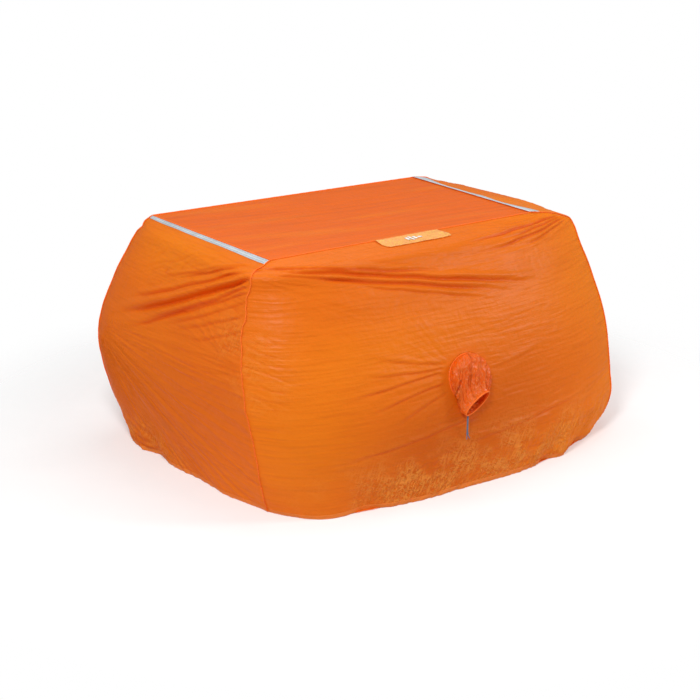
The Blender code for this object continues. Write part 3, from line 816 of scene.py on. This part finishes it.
def rear_wrinkles(wall):
    """Long shallow folds under the roof seam and a crinkled foot."""
    folds = [
        ((0.76, 0.965), (-0.10, 0.850), 0.0055, 0.018, 0.008),
        ((0.72, 0.940), (-0.45, 0.760), 0.0055, 0.020, 0.004),
        ((-0.84, 0.965), (-0.10, 0.900), 0.0050, 0.016, 0.010),
        ((-0.86, 0.940), (-0.20, 0.790), 0.0045, 0.018, 0.012),
        ((0.84, 0.900), (0.30, 0.640), 0.0035, 0.020, 0.010),
    ]
    total = basic_wrinkles(wall, 311, folds)
    lower = smooth_step(0.5, 0.85, wall.drop / wall.depth)
    total += 0.0022 * lower * streaks(wall, -0.15, 0.16, 0.026, 331)
    total += 0.0024 * fan(wall, (0.80, 0.93), 0.05, 0.90, 0.050, 337, facing=0.2, spread=0.9)
    return total


WRINKLES = {
    "front": front_wrinkles,
    "left": left_wrinkles,
    "right": right_wrinkles,
    "rear": rear_wrinkles,
}


# --- Walls, roof and seats ----------------------------------------------------------------------------

def seam_wander(corner, drops):
    """How far a corner seam strays from its smooth line, as a vector at each drop."""
    sign = np.array((-1.0 if "left" in corner else 1.0, -1.0 if "front" in corner else 1.0, 0.0))
    outward = sign / math.sqrt(2.0)
    sideways = np.array((-outward[1], outward[0], 0.0))
    seed = 500 + sorted(PINCH).index(corner)
    calm = smooth_step(0.0, 0.05, drops) * (0.45 + 0.55 * (1.0 - smooth_step(0.55, 0.85, drops)))
    zigzag = 0.0075 * noise(drops / 0.075, drops * 0, seed)
    zigzag += 0.0024 * noise(drops / 0.026, drops * 0, seed + 9)
    place, depth, width = PINCH[corner]
    pinch = depth * np.exp(-0.5 * ((drops - place) / width) ** 2)
    return sideways * (zigzag * calm)[:, None] - outward * pinch[:, None]


def seam_sag(corner, drops):
    """How far the shoulder at a corner hangs below the CAD panel, as a vector at each drop."""
    sag = SAG[corner] * np.exp(-0.5 * ((drops - SAG_DROP) / SAG_SPREAD) ** 2)
    return -UP * sag[:, None]


def shade_by_seams(wall):
    """Paints shade into the cloth at both pinches, and in patches along both corner seams."""
    for corner, distance in zip(CORNERS[wall.side], (wall.from_start, wall.from_end)):
        place, depth, width = PINCH[corner]
        # painted shade in the notch that each pinch draws in
        notch = np.exp(-0.5 * ((wall.drop - place - 0.010) / (0.5 * width)) ** 2)
        notch = notch * np.exp(-distance / NOTCH_REACH)
        wall.crease_shade = np.maximum(wall.crease_shade, depth / 0.017 * notch)
    edge = np.minimum(wall.from_start, wall.from_end)
    # painted shadow in a thin uneven line beside each corner seam
    shadow = (0.55 + 0.45 * noise(wall.drop / 0.03, wall.drop * 0, 520)) * np.exp(-edge / 0.007)
    wall.crease_shade = np.maximum(wall.crease_shade, shadow * smooth_step(0.02, 0.05, wall.drop))


def build_wall(side):
    """One wrinkled wall. The wrinkles fade out at its edges, and the corner seams of a long wall wander."""
    wall = Wall(side)
    edge = np.minimum(wall.from_start, wall.from_end)
    hold = smooth_step(0.0, 0.02, edge) * smooth_step(0.0, 0.015, wall.drop)
    points = wall.points + wall.normals * (WRINKLES[side](wall) * hold)[..., None]
    if side in LONG_SIDES:
        for corner, distance in zip(CORNERS[side], (wall.from_start, wall.from_end)):
            points += seam_wander(corner, wall.drops)[:, None] * np.exp(-distance / STRAY_REACH)[..., None]
            points += seam_sag(corner, wall.drops)[:, None] * np.exp(-(distance / SAG_REACH) ** 2)[..., None]
    shade_by_seams(wall)
    points[..., 2] = np.maximum(points[..., 2], 0.0)
    points[-1, :, 2] = 0.0
    wall.moved = points
    wall.moved_normals = grid_normals(points)
    wall.tone = GLOW_SHADE_CRACKLE[side](wall)
    return wall


def corner_seams(walls):
    """Each corner, its long wall and its end wall, and the seam's column in the long wall's grid."""
    for side in LONG_SIDES:
        for column, corner in zip((0, -1), CORNERS[side]):
            end = next(walls[other] for other in ("left", "right") if corner in CORNERS[other])
            yield corner, walls[side], end, column


def sew_corners(walls):
    """Brings the edges of the end walls onto those of the long walls, so that each corner is one seam."""
    for _, wall, end, column in corner_seams(walls):
        other = -1 - column
        share = run_share(wall.points[:, column])
        own = run_share(end.points[:, other])
        smooth, sewn = (np.stack([np.interp(own, share, grid[:, column, axis]) for axis in range(3)], axis=1)
                        for grid in (wall.points, wall.moved))
        distance = end.from_start if other == 0 else end.from_end
        shift = smooth - end.points[:, other]
        end.moved += shift[:, None] * np.exp(-(distance / SEW_REACH) ** 2)[..., None]
        end.moved += (sewn - smooth)[:, None] * np.exp(-distance / SEWN_STRAY_REACH)[..., None]
        end.moved[..., 2] = np.maximum(end.moved[..., 2], 0.0)
        end.moved[:, other] = sewn
        end.moved_normals = grid_normals(end.moved)


def spots(wall, *rows):
    """Round marks with no edge, added up, each given as (strength, centre, size)."""
    total = np.zeros(wall.along.shape)
    for strength, centre, size in rows:
        middle = wall.spot(centre)
        away = ((wall.along - middle[0]) / size[0]) ** 2 + ((wall.drop - middle[1]) / size[1]) ** 2
        total += strength * np.exp(-away)
    return total


def glow_shade_crackle_map(glow, painted_shade, crackle_and_highlight):
    """The cloth's attribute of painted glow of light through it, painted shade, and crackle lines with
    painted highlights.
    """
    return np.clip(np.stack([glow, painted_shade, crackle_and_highlight], axis=-1), 0.0, 1.0)


def front_glow_shade_crackle(wall):
    """Painted glow of light through the cloth at the left foot, by the seams and at the right edge; painted
    shade under the vent.
    """
    glow = spots(wall, (0.75, (-0.74, 0.30), (0.30, 0.28)), (0.45, (-0.35, 0.62), (0.50, 0.14)),
                 (0.80, (0.50, 0.04), (0.30, 0.11)), (0.40, (0.75, 0.70), (0.35, 0.25)))
    glow += 0.95 * np.exp(-wall.from_end / 0.16)
    painted_shade = spots(wall, (0.95, (-0.16, 0.22), (0.46, 0.20)), (0.35, (0.25, 0.40), (0.28, 0.22)),
                 (0.35, (-0.30, 0.93), (0.50, 0.05)), (0.30, (0.10, 0.80), (0.70, 0.06)))
    crackle_and_highlight = spots(wall, (0.95, (0.25, 0.06), (0.55, 0.16)), (0.60, (-0.40, 0.06), (0.30, 0.14)),
                    (0.30, (-0.88, 0.58), (0.08, 0.18)))
    return glow_shade_crackle_map(glow, painted_shade, crackle_and_highlight)


def left_glow_shade_crackle(wall):
    """Painted glow of light through the cloth under the tape, painted shade over the lower half."""
    glow = spots(wall, (0.85, (0.20, 0.93), (0.45, 0.13)), (0.20, (0.20, 0.50), (0.30, 0.25)),
                 (0.35, (-0.42, 0.03), (0.20, 0.12)))
    painted_shade = spots(wall, (0.45, (0.25, 0.12), (0.45, 0.25)), (0.25, (-0.20, 0.45), (0.50, 0.25)))
    crackle_and_highlight = spots(wall, (0.80, (0.40, 0.03), (0.30, 0.13)), (0.40, (-0.36, 0.66), (0.10, 0.20)))
    return glow_shade_crackle_map(glow, painted_shade, crackle_and_highlight)


def far_glow_shade_crackle(wall):
    """Patches of painted glow, painted shade and crackle on the walls that face away."""
    x, y, share = wall.along, wall.drop, wall.drop / wall.depth
    glow = 0.45 * smooth_step(0.0, 0.7, noise(x / 0.6, y / 0.4, 1301))
    glow += 0.5 * np.exp(-wall.from_start / 0.12)
    if wall.side == "right":
        glow += 0.8 * np.exp(-y / 0.20)
    painted_shade = 0.55 * smooth_step(0.0, 0.7, noise(x / 0.7, y / 0.4, 1303)) * smooth_step(0.3, 0.8, share)
    crackle_and_highlight = 0.8 * smooth_step(0.72, 0.95, share) * smooth_step(-0.2, 0.4, noise(x / 0.4, y / 0.4, 1307))
    return glow_shade_crackle_map(glow, painted_shade, crackle_and_highlight)


GLOW_SHADE_CRACKLE = {"front": front_glow_shade_crackle, "left": left_glow_shade_crackle, "right": far_glow_shade_crackle, "rear": far_glow_shade_crackle}


def cut_round_hole(points):
    """Faces of the front wall without those inside the vent, and points drawn onto its rim."""
    centre, radius = collar_circle()
    radius += 0.001
    away = np.stack([points[..., 0] - centre[0], points[..., 2] - centre[2]], axis=-1)
    distance = np.linalg.norm(away, axis=-1)
    inside = distance < radius
    middle, outward = vent_frame()
    near = 1.0 - smooth_step(radius, radius + 0.05, distance)
    points = points - outward * (((points - middle) @ outward) * near)[..., None]
    faces = grid_faces(*points.shape[:2])
    keep = inside.ravel()[faces].sum(axis=1) < 3
    faces = faces[keep]
    rim = np.zeros(inside.size, bool)
    rim[np.unique(faces)] = True
    rim = rim.reshape(inside.shape) & inside
    scale = radius / distance[rim]
    points[rim, 0] = centre[0] + away[rim, 0] * scale
    points[rim, 2] = centre[2] + away[rim, 1] * scale
    return points, faces


def add_wall(wall):
    """The wall's piece, which stands for its CAD panel."""
    points = wall.moved
    faces = grid_faces(*points.shape[:2])
    if wall.side == "front":
        points, faces = cut_round_hole(points)
    used = np.unique(faces)
    renumber = np.full(points.shape[0] * points.shape[1], -1)
    renumber[used] = np.arange(len(used))
    uvs = np.stack([wall.along, wall.drop], axis=-1).reshape(-1, 2)[used]
    shape = points.reshape(-1, 3)[used], renumber[faces]
    piece = add_mesh(f"{wall.side}_wall_cloth", shape, ["wall"], "shelter", PANELS[wall.side], uvs=uvs,
                     tone=wall.tone.reshape(-1, 3)[used], shade_in_creases=wall.crease_shade.ravel()[used])


def build_roof():
    """Taut roof with faint ripples along its length."""
    points = node_points("roof_panel")
    top = points[points[:, 2] > points[:, 2].max() - 0.0005]
    corner = {}
    for name in PINCH:
        sign = np.array((-1.0 if "left" in name else 1.0, -1.0 if "front" in name else 1.0))
        corner[name] = top[(top[:, :2] @ sign).argmax()]
    length = np.linalg.norm(corner["front_right"] - corner["front_left"])
    width = np.linalg.norm(corner["rear_left"] - corner["front_left"])
    u, v = np.meshgrid(np.linspace(0.0, 1.0, int(length / ROOF_CELL)),
                       np.linspace(1.0, 0.0, int(width / ROOF_CELL)))
    front = corner["front_left"] + (corner["front_right"] - corner["front_left"]) * u[..., None]
    rear = corner["rear_left"] + (corner["rear_right"] - corner["rear_left"]) * u[..., None]
    grid = front + (rear - front) * v[..., None]
    tree = node_tree("roof_panel")
    drop = np.zeros(u.shape)
    for row in range(u.shape[0]):
        for column in range(u.shape[1]):
            hit = tree.ray_cast(Vector(grid[row, column] + UP * 0.1), Vector((0, 0, -1)))[0]
            drop[row, column] = grid[row, column][2] - hit[2] if hit else 0.0
    drop = blur(blur(drop, 3.5).T, 3.5).T
    x, y = grid[..., 0], grid[..., 1]
    edge = np.minimum(np.minimum(u, 1 - u) * length, np.minimum(v, 1 - v) * width)
    hold = smooth_step(0.0, 0.05, edge)
    ripple = 0.0018 * noise(x / 0.60, y / 0.090, 601) + 0.0014 * noise(x / 0.45, (y + 0.10 * x) / 0.036, 602)
    ripple += 0.0025 * noise(x / 0.5, y / 0.3, 603)
    ripple += 0.0008 * noise(x / 0.03, y / 0.12, 604) * np.exp(-edge / 0.03)
    grid[..., 2] += ripple * hold - drop
    uvs = np.stack([u * length, v * width], axis=-1)
    slant = y + 0.10 * x
    # painted glow and painted shade in streaks across the roof, slanted like its ripples
    tone = glow_shade_crackle_map(0.30 * smooth_step(0.1, 0.8, noise(x / 0.7, slant / 0.10, 605)),
                    0.24 * smooth_step(0.1, 0.7, noise(x / 0.6, slant / 0.028, 606)), x * 0)
    piece = add_mesh("roof_cloth", grid_shape(grid[::-1]), ["roof"], "shelter", "roof_panel",
                     uvs=uvs[::-1].reshape(-1, 2), tone=tone[::-1].reshape(-1, 3))


def build_seats():
    """Seat cloths turned in along the ground at the foot of the long walls."""
    for side, seed in (("front", 701), ("rear", 711)):
        low, high = box(f"{side}_seat_flap")
        points = node_points(f"{side}_seat_flap")
        points = points[points[:, 2] < 0.0005]
        inner = high[1] if side == "front" else low[1]
        xs = np.linspace(low[0], high[0], 150)
        outer_y = []
        for x in xs:
            near = points[np.abs(points[:, 0] - x) < 0.12]
            weight = np.exp(-((near[:, 0] - x) / 0.05) ** 2)
            edge = near[:, 1].min() if side == "front" else near[:, 1].max()
            rim = np.abs(near[:, 1] - edge) < 0.10
            outer_y.append((near[rim, 1] * weight[rim]).sum() / weight[rim].sum())
        outer_y = np.array(outer_y)
        inset = 0.006 if side == "front" else -0.006
        share = np.linspace(0.0, 1.0, 30)[:, None]
        y = (outer_y[None] + inset) * (1 - share) + inner * share
        x = np.broadcast_to(xs[None], y.shape)
        lift = 0.003 + 0.0022 * noise(x / 0.16, y / 0.07, seed)
        lift += 0.0012 * noise(x / 0.05, y / 0.03, seed + 1)
        grid = np.stack([x, y, np.maximum(lift, 0.0006)], axis=-1)
        if side == "front":
            grid = grid[::-1]
        piece = add_mesh(f"{side}_seat_cloth", grid_shape(grid), ["roof"], "shelter", f"{side}_seat_flap",
                         uvs=grid[..., :2].reshape(-1, 2))


# --- Seams, hems and tapes ----------------------------------------------------------------------------

def build_corner_piping(walls):
    """Puckered piping down each corner, on the walls' shared edge and facing between them."""
    for corner, wall, end, column in corner_seams(walls):
        drops = np.arange(0.004, wall.depth - 0.002, 0.004)
        share = np.interp(drops, wall.drops, run_share(wall.moved[:, column]))
        end_drops = np.interp(share, run_share(end.moved[:, -1 - column]), end.drops)
        edge = -column * wall.length
        inner, end_inner = abs(edge - BESIDE_SEAM), abs((1 + column) * end.length - BESIDE_SEAM)
        out = unit(wall.sample(wall.moved_normals, drops * 0 + inner, drops)
                   + end.sample(end.moved_normals, drops * 0 + end_inner, end_drops))
        path = wall.sample(wall.moved, drops * 0 + edge, drops) + out * (SEAM_RADIUS * 0.75)
        path[:, 2] = np.maximum(path[:, 2], SEAM_RADIUS + 0.0006)
        radius = SEAM_RADIUS * (1.0 + 0.22 * noise(drops / 0.011, drops * 0, 801))
        add_mesh(f"{corner}_corner_piping", sweep(path, radius), ["binding"], "shelter",
                 f"{corner}_corner_seam")


def build_roof_piping(walls):
    """Piping along the four edges of the roof."""
    for side, wall in walls.items():
        path = wall.moved[0].copy()
        along = wall.shares * wall.length
        path[:, 2] += SEAM_RADIUS * 0.5 + 0.0005 * noise(along / 0.03, along * 0, 811)
        radius = SEAM_RADIUS * (0.85 + 0.15 * noise(along / 0.013, along * 0, 813))
        add_mesh(f"{side}_roof_piping", sweep(path, radius), ["binding"], "shelter", f"{side}_roof_seam")


def wall_strip(wall, along, drop, offset):
    """Points off the wrinkled wall."""
    return wall.sample(wall.moved, along, drop) + wall.sample(wall.moved_normals, along, drop) * offset


def build_hems(walls):
    """Folded binding at the foot of each wall, with the little rolls that real hems have."""
    for side, wall in walls.items():
        along, share = np.meshgrid(np.linspace(0.004, wall.length - 0.004, int(wall.length / 0.006)),
                                   np.linspace(0.0, 1.0, 6))
        turned = smooth_step(0.40, 0.85, noise(along / 0.11, share * 0, 821))
        roll = 0.0008 + 0.0008 * np.abs(noise(along / 0.03, share * 0, 823))
        roll += 0.0080 * turned * (1 - share) ** 2
        drop = wall.depth - HEM_HEIGHT * (1.0 - share)
        upper = wall_strip(wall, along, drop, roll[..., None])
        lower = wall_strip(wall, along, drop, 0.0005)
        for grid in (upper, lower):
            grid[..., 2] = np.maximum(grid[..., 2], 0.0004)
        add_mesh(f"{side}_hem_tape", slab(upper, lower), ["hem"], "shelter", f"{side}_hem_binding")


def build_tapes(walls):
    """Reflective tape with two darker lines, sewn along the top of both end walls."""
    lines = (0.004, 0.0105, 0.0130, 0.0215, 0.0240, 0.0300)
    for side in ("left", "right"):
        wall = walls[side]
        along, drop = np.meshgrid(np.linspace(0.006, wall.length - 0.006, int(wall.length / 0.008)), lines)
        lower = wall_strip(wall, along, drop, 0.0009)
        upper = wall_strip(wall, along, drop, 0.0018)
        if side == "right":
            lap = np.array((-0.010, 0.0, 0.0048))
            lower[0] = wall_strip(wall, along[0], drop[0] * 0, 0.0) + lap
            upper[0] = lower[0] + UP * 0.0009
            lower[1] += UP * 0.0030
            upper[1] += UP * 0.0030
        shape = slab(upper, lower)
        columns = along.shape[1] - 1
        face_looks = np.zeros(len(shape[1]), int)
        for row in (1, 3):
            face_looks[row * columns:(row + 1) * columns] = 1
        add_mesh(f"{side}_tape", shape, ["tape", "tape_line"], "shelter", f"{side}_reflective_tape",
                 face_looks=face_looks)


# --- Stow flap ----------------------------------------------------------------------------------------

def flap_point(wall, x, drop, offset):
    """Point off the smooth front wall near the roof's edge, at an x."""
    line = wall.points[8, :, 0]
    along = np.interp(x, line, wall.shares * wall.length)
    return wall.sample(wall.points, along, drop) + wall.sample(wall.normals, along, drop) * offset


def build_stow_flap(wall):
    """Crinkled flap with a double edge, and plain printed bars in its middle."""
    low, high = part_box("stow_pocket_flap")
    high.x -= 0.014
    middle, half = (low.x + high.x) / 2, (high.x - low.x) / 2
    x, share = np.meshgrid(np.linspace(low.x + 0.002, high.x - 0.002, 90), np.linspace(0.0, 1.0, 24))
    end = np.abs(x - middle) / half
    depth = 0.080 - 0.026 * smooth_step(0.84, 1.0, end) ** 2 + 0.002 * noise(x / 0.07, x * 0, 907)
    drop = 0.004 + (depth - 0.004) * share
    crinkle = (0.0013 * creased_noise(x / 0.045, drop / 0.020, 901)
               + 0.0010 * creased_noise((x + drop) / 0.022, (drop - x) / 0.030, 902)
               + 0.0008 * noise(x / 0.08, drop / 0.04, 903))
    lift = (0.0048 + crinkle)[..., None]
    upper = flap_point(wall, x, drop, lift)
    lower = flap_point(wall, x, drop, lift - 0.0009)
    uvs = np.stack([x, drop], axis=-1).reshape(-1, 2)
    piece = add_mesh("stow_flap_cloth", slab(upper, lower), ["flap"], "stow_flap", "stow_pocket_flap",
                     uvs=np.concatenate([uvs, uvs]))

    points, faces = [], []
    for start, width, tall in ((-0.040, 0.0135, 0.022), (-0.020, 0.0099, 0.034),
                               (-0.002, 0.0135, 0.022), (0.020, 0.0198, 0.010)):
        x, drop = np.meshgrid(np.linspace(middle + start, middle + start + width, 5),
                              np.linspace(PRINT_DROP - tall / 2, PRINT_DROP + tall / 2, 5))
        bar = slab(flap_point(wall, x, drop, 0.0084), flap_point(wall, x, drop, 0.0078))
        faces.extend(bar[1] + len(points))
        points.extend(bar[0])
    print_bars = add_mesh("stow_flap_print", (points, faces), ["print"], "stow_flap", "stow_flap_badge")


# --- Vent ---------------------------------------------------------------------------------------------

def main_axes(points):
    """Middle of nearly flat points, and their directions from the longest to the one square to them."""
    centre = points.mean(axis=0)
    return centre, np.linalg.svd(points - centre)[2]


def vent_frame():
    """Centre of the vent's collar and the direction that it faces."""
    centre, axes = main_axes(node_points("vent_collar"))
    return centre, axes[2] if axes[2][1] < 0 else -axes[2]


def mouth_frame(outward):
    """Directions at the sleeve's mouth: out of it, along its long way across, and along its short one."""
    axes = main_axes(node_points("vent_mouth_hem"))[1]
    out = axes[2] if axes[2][2] < 0 else -axes[2]
    out = unit(out * 0.66 + outward * 0.52 + np.array((0.10, 0.0, 0.0)))
    long_way = axes[0] * np.sign(axes[0][0])
    long_way = unit(long_way - out * (out @ long_way))
    short_way = np.cross(long_way, out)
    return out, long_way, short_way if short_way[2] > 0 else -short_way


def oval(centre, first, second):
    """Points round an oval, from the end of its second half-axis to the end of its first."""
    angle = np.arange(SLEEVE_SIDES) * 2 * math.pi / SLEEVE_SIDES
    return centre + first * np.sin(angle)[:, None] + second * np.cos(angle)[:, None]


def sleeve_line(root, end, leave, arrive):
    """Rows of points from one ring to another, which leave and arrive in the given directions."""
    handle = np.linalg.norm(end - root, axis=1, keepdims=True) * 0.42
    t = np.linspace(0.0, 1.0, SLEEVE_ROWS)[:, None, None]
    return (root * (1 - t) ** 3 + (root + leave * handle) * 3 * t * (1 - t) ** 2
            + (end - arrive * handle) * 3 * t ** 2 * (1 - t) + end * t ** 3)


def crumpled(sleeve):
    """The sleeve with folds, crumples and a slight swell, and each point's turn and share of the way."""
    normals = unit(np.cross(np.roll(sleeve, -1, axis=1) - np.roll(sleeve, 1, axis=1),
                            np.gradient(sleeve, axis=0)))
    away = sleeve - sleeve.mean(axis=1, keepdims=True)
    normals = normals * np.sign((normals * away).sum(axis=-1, keepdims=True))
    turn, share = np.meshgrid(np.arange(SLEEVE_SIDES) * 2 * math.pi / SLEEVE_SIDES,
                              np.linspace(0.0, 1.0, SLEEVE_ROWS))
    move = sum(depth * ring_noise(np.sin(turn), np.cos(turn), share, around, along, seed)
               for depth, around, along, seed in ((0.0055, 5.0, 1.2, 1011), (0.0042, 9.0, 6.0, 1013),
                                                  (0.0018, 18.0, 13.0, 1017)))
    bow = np.sin(math.pi * np.clip(share, 0.0, 1.0))
    move = move * (0.25 + 0.75 * bow ** 0.5) * hold_ends(share) + 0.005 * np.maximum(bow, 0.0) ** 1.2
    return sleeve + normals * move[..., None], turn, share


def build_vent():
    """Gathered collar, crinkled sleeve and hemmed mouth."""
    centre, outward = vent_frame()
    radius = collar_circle()[1]
    across = np.array((1.0, 0.0, 0.0))
    upward = np.cross(across, -outward)
    upward = unit(upward) if upward[2] > 0 else -unit(upward)
    rim_radius, root_radius = radius + 0.001, radius - 0.0005
    rim = oval(centre + outward * 0.002, rim_radius * across, rim_radius * upward)
    angle = np.arange(SLEEVE_SIDES) * 2 * math.pi / SLEEVE_SIDES
    rim += outward * 0.0012 * noise(angle * 9 / math.pi, angle * 0, 1001)[:, None]
    add_mesh("vent_collar_binding", ring_rod(rim, RING_RADIUS, 8), ["binding"], "shelter", "vent_collar")

    root = oval(centre + outward * 0.003, root_radius * across, root_radius * upward)
    mouth_out, mouth_long, mouth_short = mouth_frame(outward)
    exit_low, exit_high = box("vent_drawcord_left")
    drawn = np.array((exit_high[0] + 0.0005, (exit_low[1] + exit_high[1]) / 2, exit_high[2]))
    mouth_long, mouth_short = MOUTH_SIZE[0] * mouth_long, MOUTH_SIZE[1] * mouth_short
    end = oval(drawn + mouth_long * 0.81 + mouth_short * 0.59 + UP * 0.002, mouth_long, mouth_short)
    sleeve, turn, share = crumpled(sleeve_line(root, end, outward, mouth_out))
    uvs = np.stack([turn * radius, share * SLEEVE_LENGTH], axis=-1).reshape(-1, 2)
    piece = add_mesh("vent_sleeve", grid_shape(sleeve, ring=True), ["vent"], None, "vent_snorkel", uvs=uvs)
    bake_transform(piece)
    hem = add_mesh("vent_mouth_binding", ring_rod(end + mouth_out * 0.003, 0.0030, 8), ["binding"],
                   "snorkel", "vent_mouth_hem")


def hold_ends(share):
    """1 along the sleeve and 0 at both ends."""
    return smooth_step(0.0, 0.08, share) * (1.0 - smooth_step(0.93, 1.0, share))


def ring_noise(x, y, along, around_scale, along_scale, seed):
    """Crested noise that closes on itself round a tube."""
    first = noise(x * around_scale / 2 + 40.0, y * around_scale / 2 + along * along_scale + 40.0, seed)
    second = noise(y * around_scale / 2 + 90.0, x * around_scale / 2 - along * along_scale + 90.0, seed + 1)
    return 1.0 - 2.2 * np.minimum(np.abs(first + 0.5 * second), 0.8)


def ring_rod(ring, radius, sides):
    """Points and faces of a rod that follows a closed ring of points."""
    count = len(ring)
    tangent = unit(np.roll(ring, -1, axis=0) - np.roll(ring, 1, axis=0))
    middle = ring.mean(axis=0)
    first = unit(ring - middle - tangent * ((ring - middle) * tangent).sum(axis=1, keepdims=True))
    second = np.cross(tangent, first)
    angles = np.arange(sides) * 2 * math.pi / sides
    points = ring[:, None] + radius * (first[:, None] * np.cos(angles)[None, :, None]
                                       + second[:, None] * np.sin(angles)[None, :, None])
    faces = grid_faces(count, sides, ring=True)
    last = (count - 1) * sides
    join = [(last + i, i, (i + 1) % sides, last + (i + 1) % sides) for i in range(sides)]
    return points.reshape(-1, 3), np.concatenate([faces, np.array(join)])


# --- Drawcord -----------------------------------------------------------------------------------------

def build_drawcord():
    """Two cord ends that hang from the mouth, pass through one knot and end just under it."""
    knot_low, knot_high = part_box("vent_cord_knot")
    for name in ("left", "right"):
        low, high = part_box(f"vent_drawcord_{name}")
        tail_low, tail_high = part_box(f"vent_cord_tail_{name}")
        middle = (low + high) / 2
        top = Vector((middle.x, middle.y, high.z))
        tail_top = Vector((tail_low.x + CORD_RADIUS, middle.y, tail_high.z))
        tail_end_x = tail_low.x + CORD_RADIUS if name == "left" else tail_high.x - CORD_RADIUS
        tail_end = Vector((tail_end_x, middle.y, tail_low.z + CORD_RADIUS * 0.3))
        points = []
        for share in np.linspace(0.0, 1.0, 24):
            z = top.z + (tail_top.z - top.z) * share
            points.append((top.x, top.y, z))
        for share in np.linspace(0.1, 1.0, 9):
            points.append(tuple(tail_top.lerp(tail_end, share)))
        curve = bpy.data.curves.new(f"drawcord_{name}", "CURVE")
        curve.dimensions = "3D"
        curve.bevel_depth = CORD_RADIUS
        curve.bevel_resolution = 3
        curve.use_fill_caps = True
        spline = curve.splines.new("POLY")
        spline.points.add(len(points) - 1)
        for target, point in zip(spline.points, points):
            target.co = (*point, 1.0)
        curve.materials.append(LOOKS["cord"])
        piece = add_piece(f"drawcord_{name}", curve, "cord", "drawcord", f"vent_drawcord_{name}",
                          f"vent_cord_tail_{name}")

    centre = (knot_low + knot_high) / 2
    size = (knot_high - knot_low) / 2
    turns = []
    for share in np.linspace(0.0, 1.0, 90):
        angle = share * 2 * math.pi
        turns.append((centre.x + size.x * 0.62 * (math.sin(angle) + 0.35 * math.sin(2 * angle)),
                      centre.y + size.y * 0.50 * math.cos(3 * angle),
                      centre.z + size.z * 0.62 * (math.cos(angle) - 0.35 * math.cos(2 * angle))))
    knot = add_mesh("drawcord_knot", sweep(np.array(turns), 0.0018, 8), ["cord"], "drawcord",
                    "vent_cord_knot")


# --- View, light and ground ---------------------------------------------------------------------------

def build_camera():
    """Camera that looks at the object as the view values say."""
    camera = bpy.data.cameras.new("camera")
    camera.lens = LENS
    camera.sensor_width = 36.0
    camera.shift_x, camera.shift_y = SHIFT
    holder = bpy.data.objects.new("camera", camera)
    bpy.context.scene.collection.objects.link(holder)
    back = Vector((math.sin(VIEW_AZIMUTH) * math.cos(VIEW_ELEVATION),
                   -math.cos(VIEW_AZIMUTH) * math.cos(VIEW_ELEVATION), math.sin(VIEW_ELEVATION)))
    holder.location = VIEW_TARGET + back * VIEW_DISTANCE
    holder.rotation_mode = "QUATERNION"
    holder.rotation_quaternion = (-back).to_track_quat("-Z", "Y")
    bpy.context.scene.camera = holder


def area_light(name, place, target, size, power):
    """White rectangular light that faces a target."""
    light = bpy.data.lights.new(name, "AREA")
    light.shape = "RECTANGLE"
    light.size, light.size_y = size
    light.energy = power
    holder = bpy.data.objects.new(name, light)
    bpy.context.scene.collection.objects.link(holder)
    holder.location = place
    holder.rotation_mode = "QUATERNION"
    holder.rotation_quaternion = (Vector(target) - Vector(place)).to_track_quat("-Z", "Y")


def build_studio():
    """Pale ground, a bright even surround and large soft lights."""
    mesh = bpy.data.meshes.new("ground")
    reach = 4.0
    mesh.from_pydata([(-reach, -reach, -0.001), (reach, -reach, -0.001), (reach, reach, -0.001),
                      (-reach, reach, -0.001)], [], [(0, 1, 2, 3)])
    mesh.materials.append(ground_material())
    ground = bpy.data.objects.new("ground", mesh)
    bpy.context.scene.collection.objects.link(ground)

    build_world()
    bpy.context.scene.view_settings.view_transform = "Standard"
    area_light("key_light", (-3.0, -2.7, 4.4), (0.0, 0.0, 0.5), (1.2, 1.2), 185)
    area_light("top_light", (0.8, 1.0, 4.0), (0.0, 0.0, 0.6), (3.0, 2.4), 46)
    area_light("left_light", (-4.8, 0.8, 2.6), (-0.4, 0.1, 0.5), (1.6, 1.6), 36)
    area_light("right_light", (4.0, -3.4, 3.0), (0.4, 0.0, 0.5), (1.2, 1.6), 116)


def ground_material():
    """Pale ground that fades into the white surround."""
    nodes = Nodes("ground")
    pale = nodes.ramp(nodes.noise(3.0), (0.94, 0.94, 0.94), (0.96, 0.96, 0.96))
    nodes.finish(pale, 0.9, 0.1)
    length = nodes.add("ShaderNodeVectorMath", operation="LENGTH")
    nodes.put(nodes.coordinates(), length.inputs[0])
    faded = nodes.shade(length.outputs["Value"], 1.10, 2.3, 1.0)
    nodes.mix_in(nodes.add("ShaderNodeBsdfTransparent"), nodes.math("MAXIMUM", faded, 0.25))
    return nodes.material


def build_world():
    """White surround to look at, and a softer one to light the object by."""
    world = bpy.data.worlds.new("studio")
    world.use_nodes = True
    tree = world.node_tree
    seen = tree.nodes["Background"]
    seen.inputs["Strength"].default_value = 1.0
    seen.inputs["Color"].default_value = (1.0, 1.0, 1.0, 1.0)
    fill = tree.nodes.new("ShaderNodeBackground")
    fill.inputs["Strength"].default_value = 0.43
    path = tree.nodes.new("ShaderNodeLightPath")
    mix = tree.nodes.new("ShaderNodeMixShader")
    tree.links.new(path.outputs["Is Camera Ray"], mix.inputs[0])
    tree.links.new(fill.outputs[0], mix.inputs[1])
    tree.links.new(seen.outputs[0], mix.inputs[2])
    tree.links.new(mix.outputs[0], tree.nodes["World Output"].inputs["Surface"])
    bpy.context.scene.world = world


build_camera()
build_studio()
build_drawcord()
walls = {side: build_wall(side) for side in ("front", "right", "rear", "left")}
sew_corners(walls)
for wall in walls.values():
    add_wall(wall)
build_roof()
build_seats()
build_corner_piping(walls)
build_roof_piping(walls)
build_hems(walls)
build_tapes(walls)
build_stow_flap(walls["front"])
build_vent()
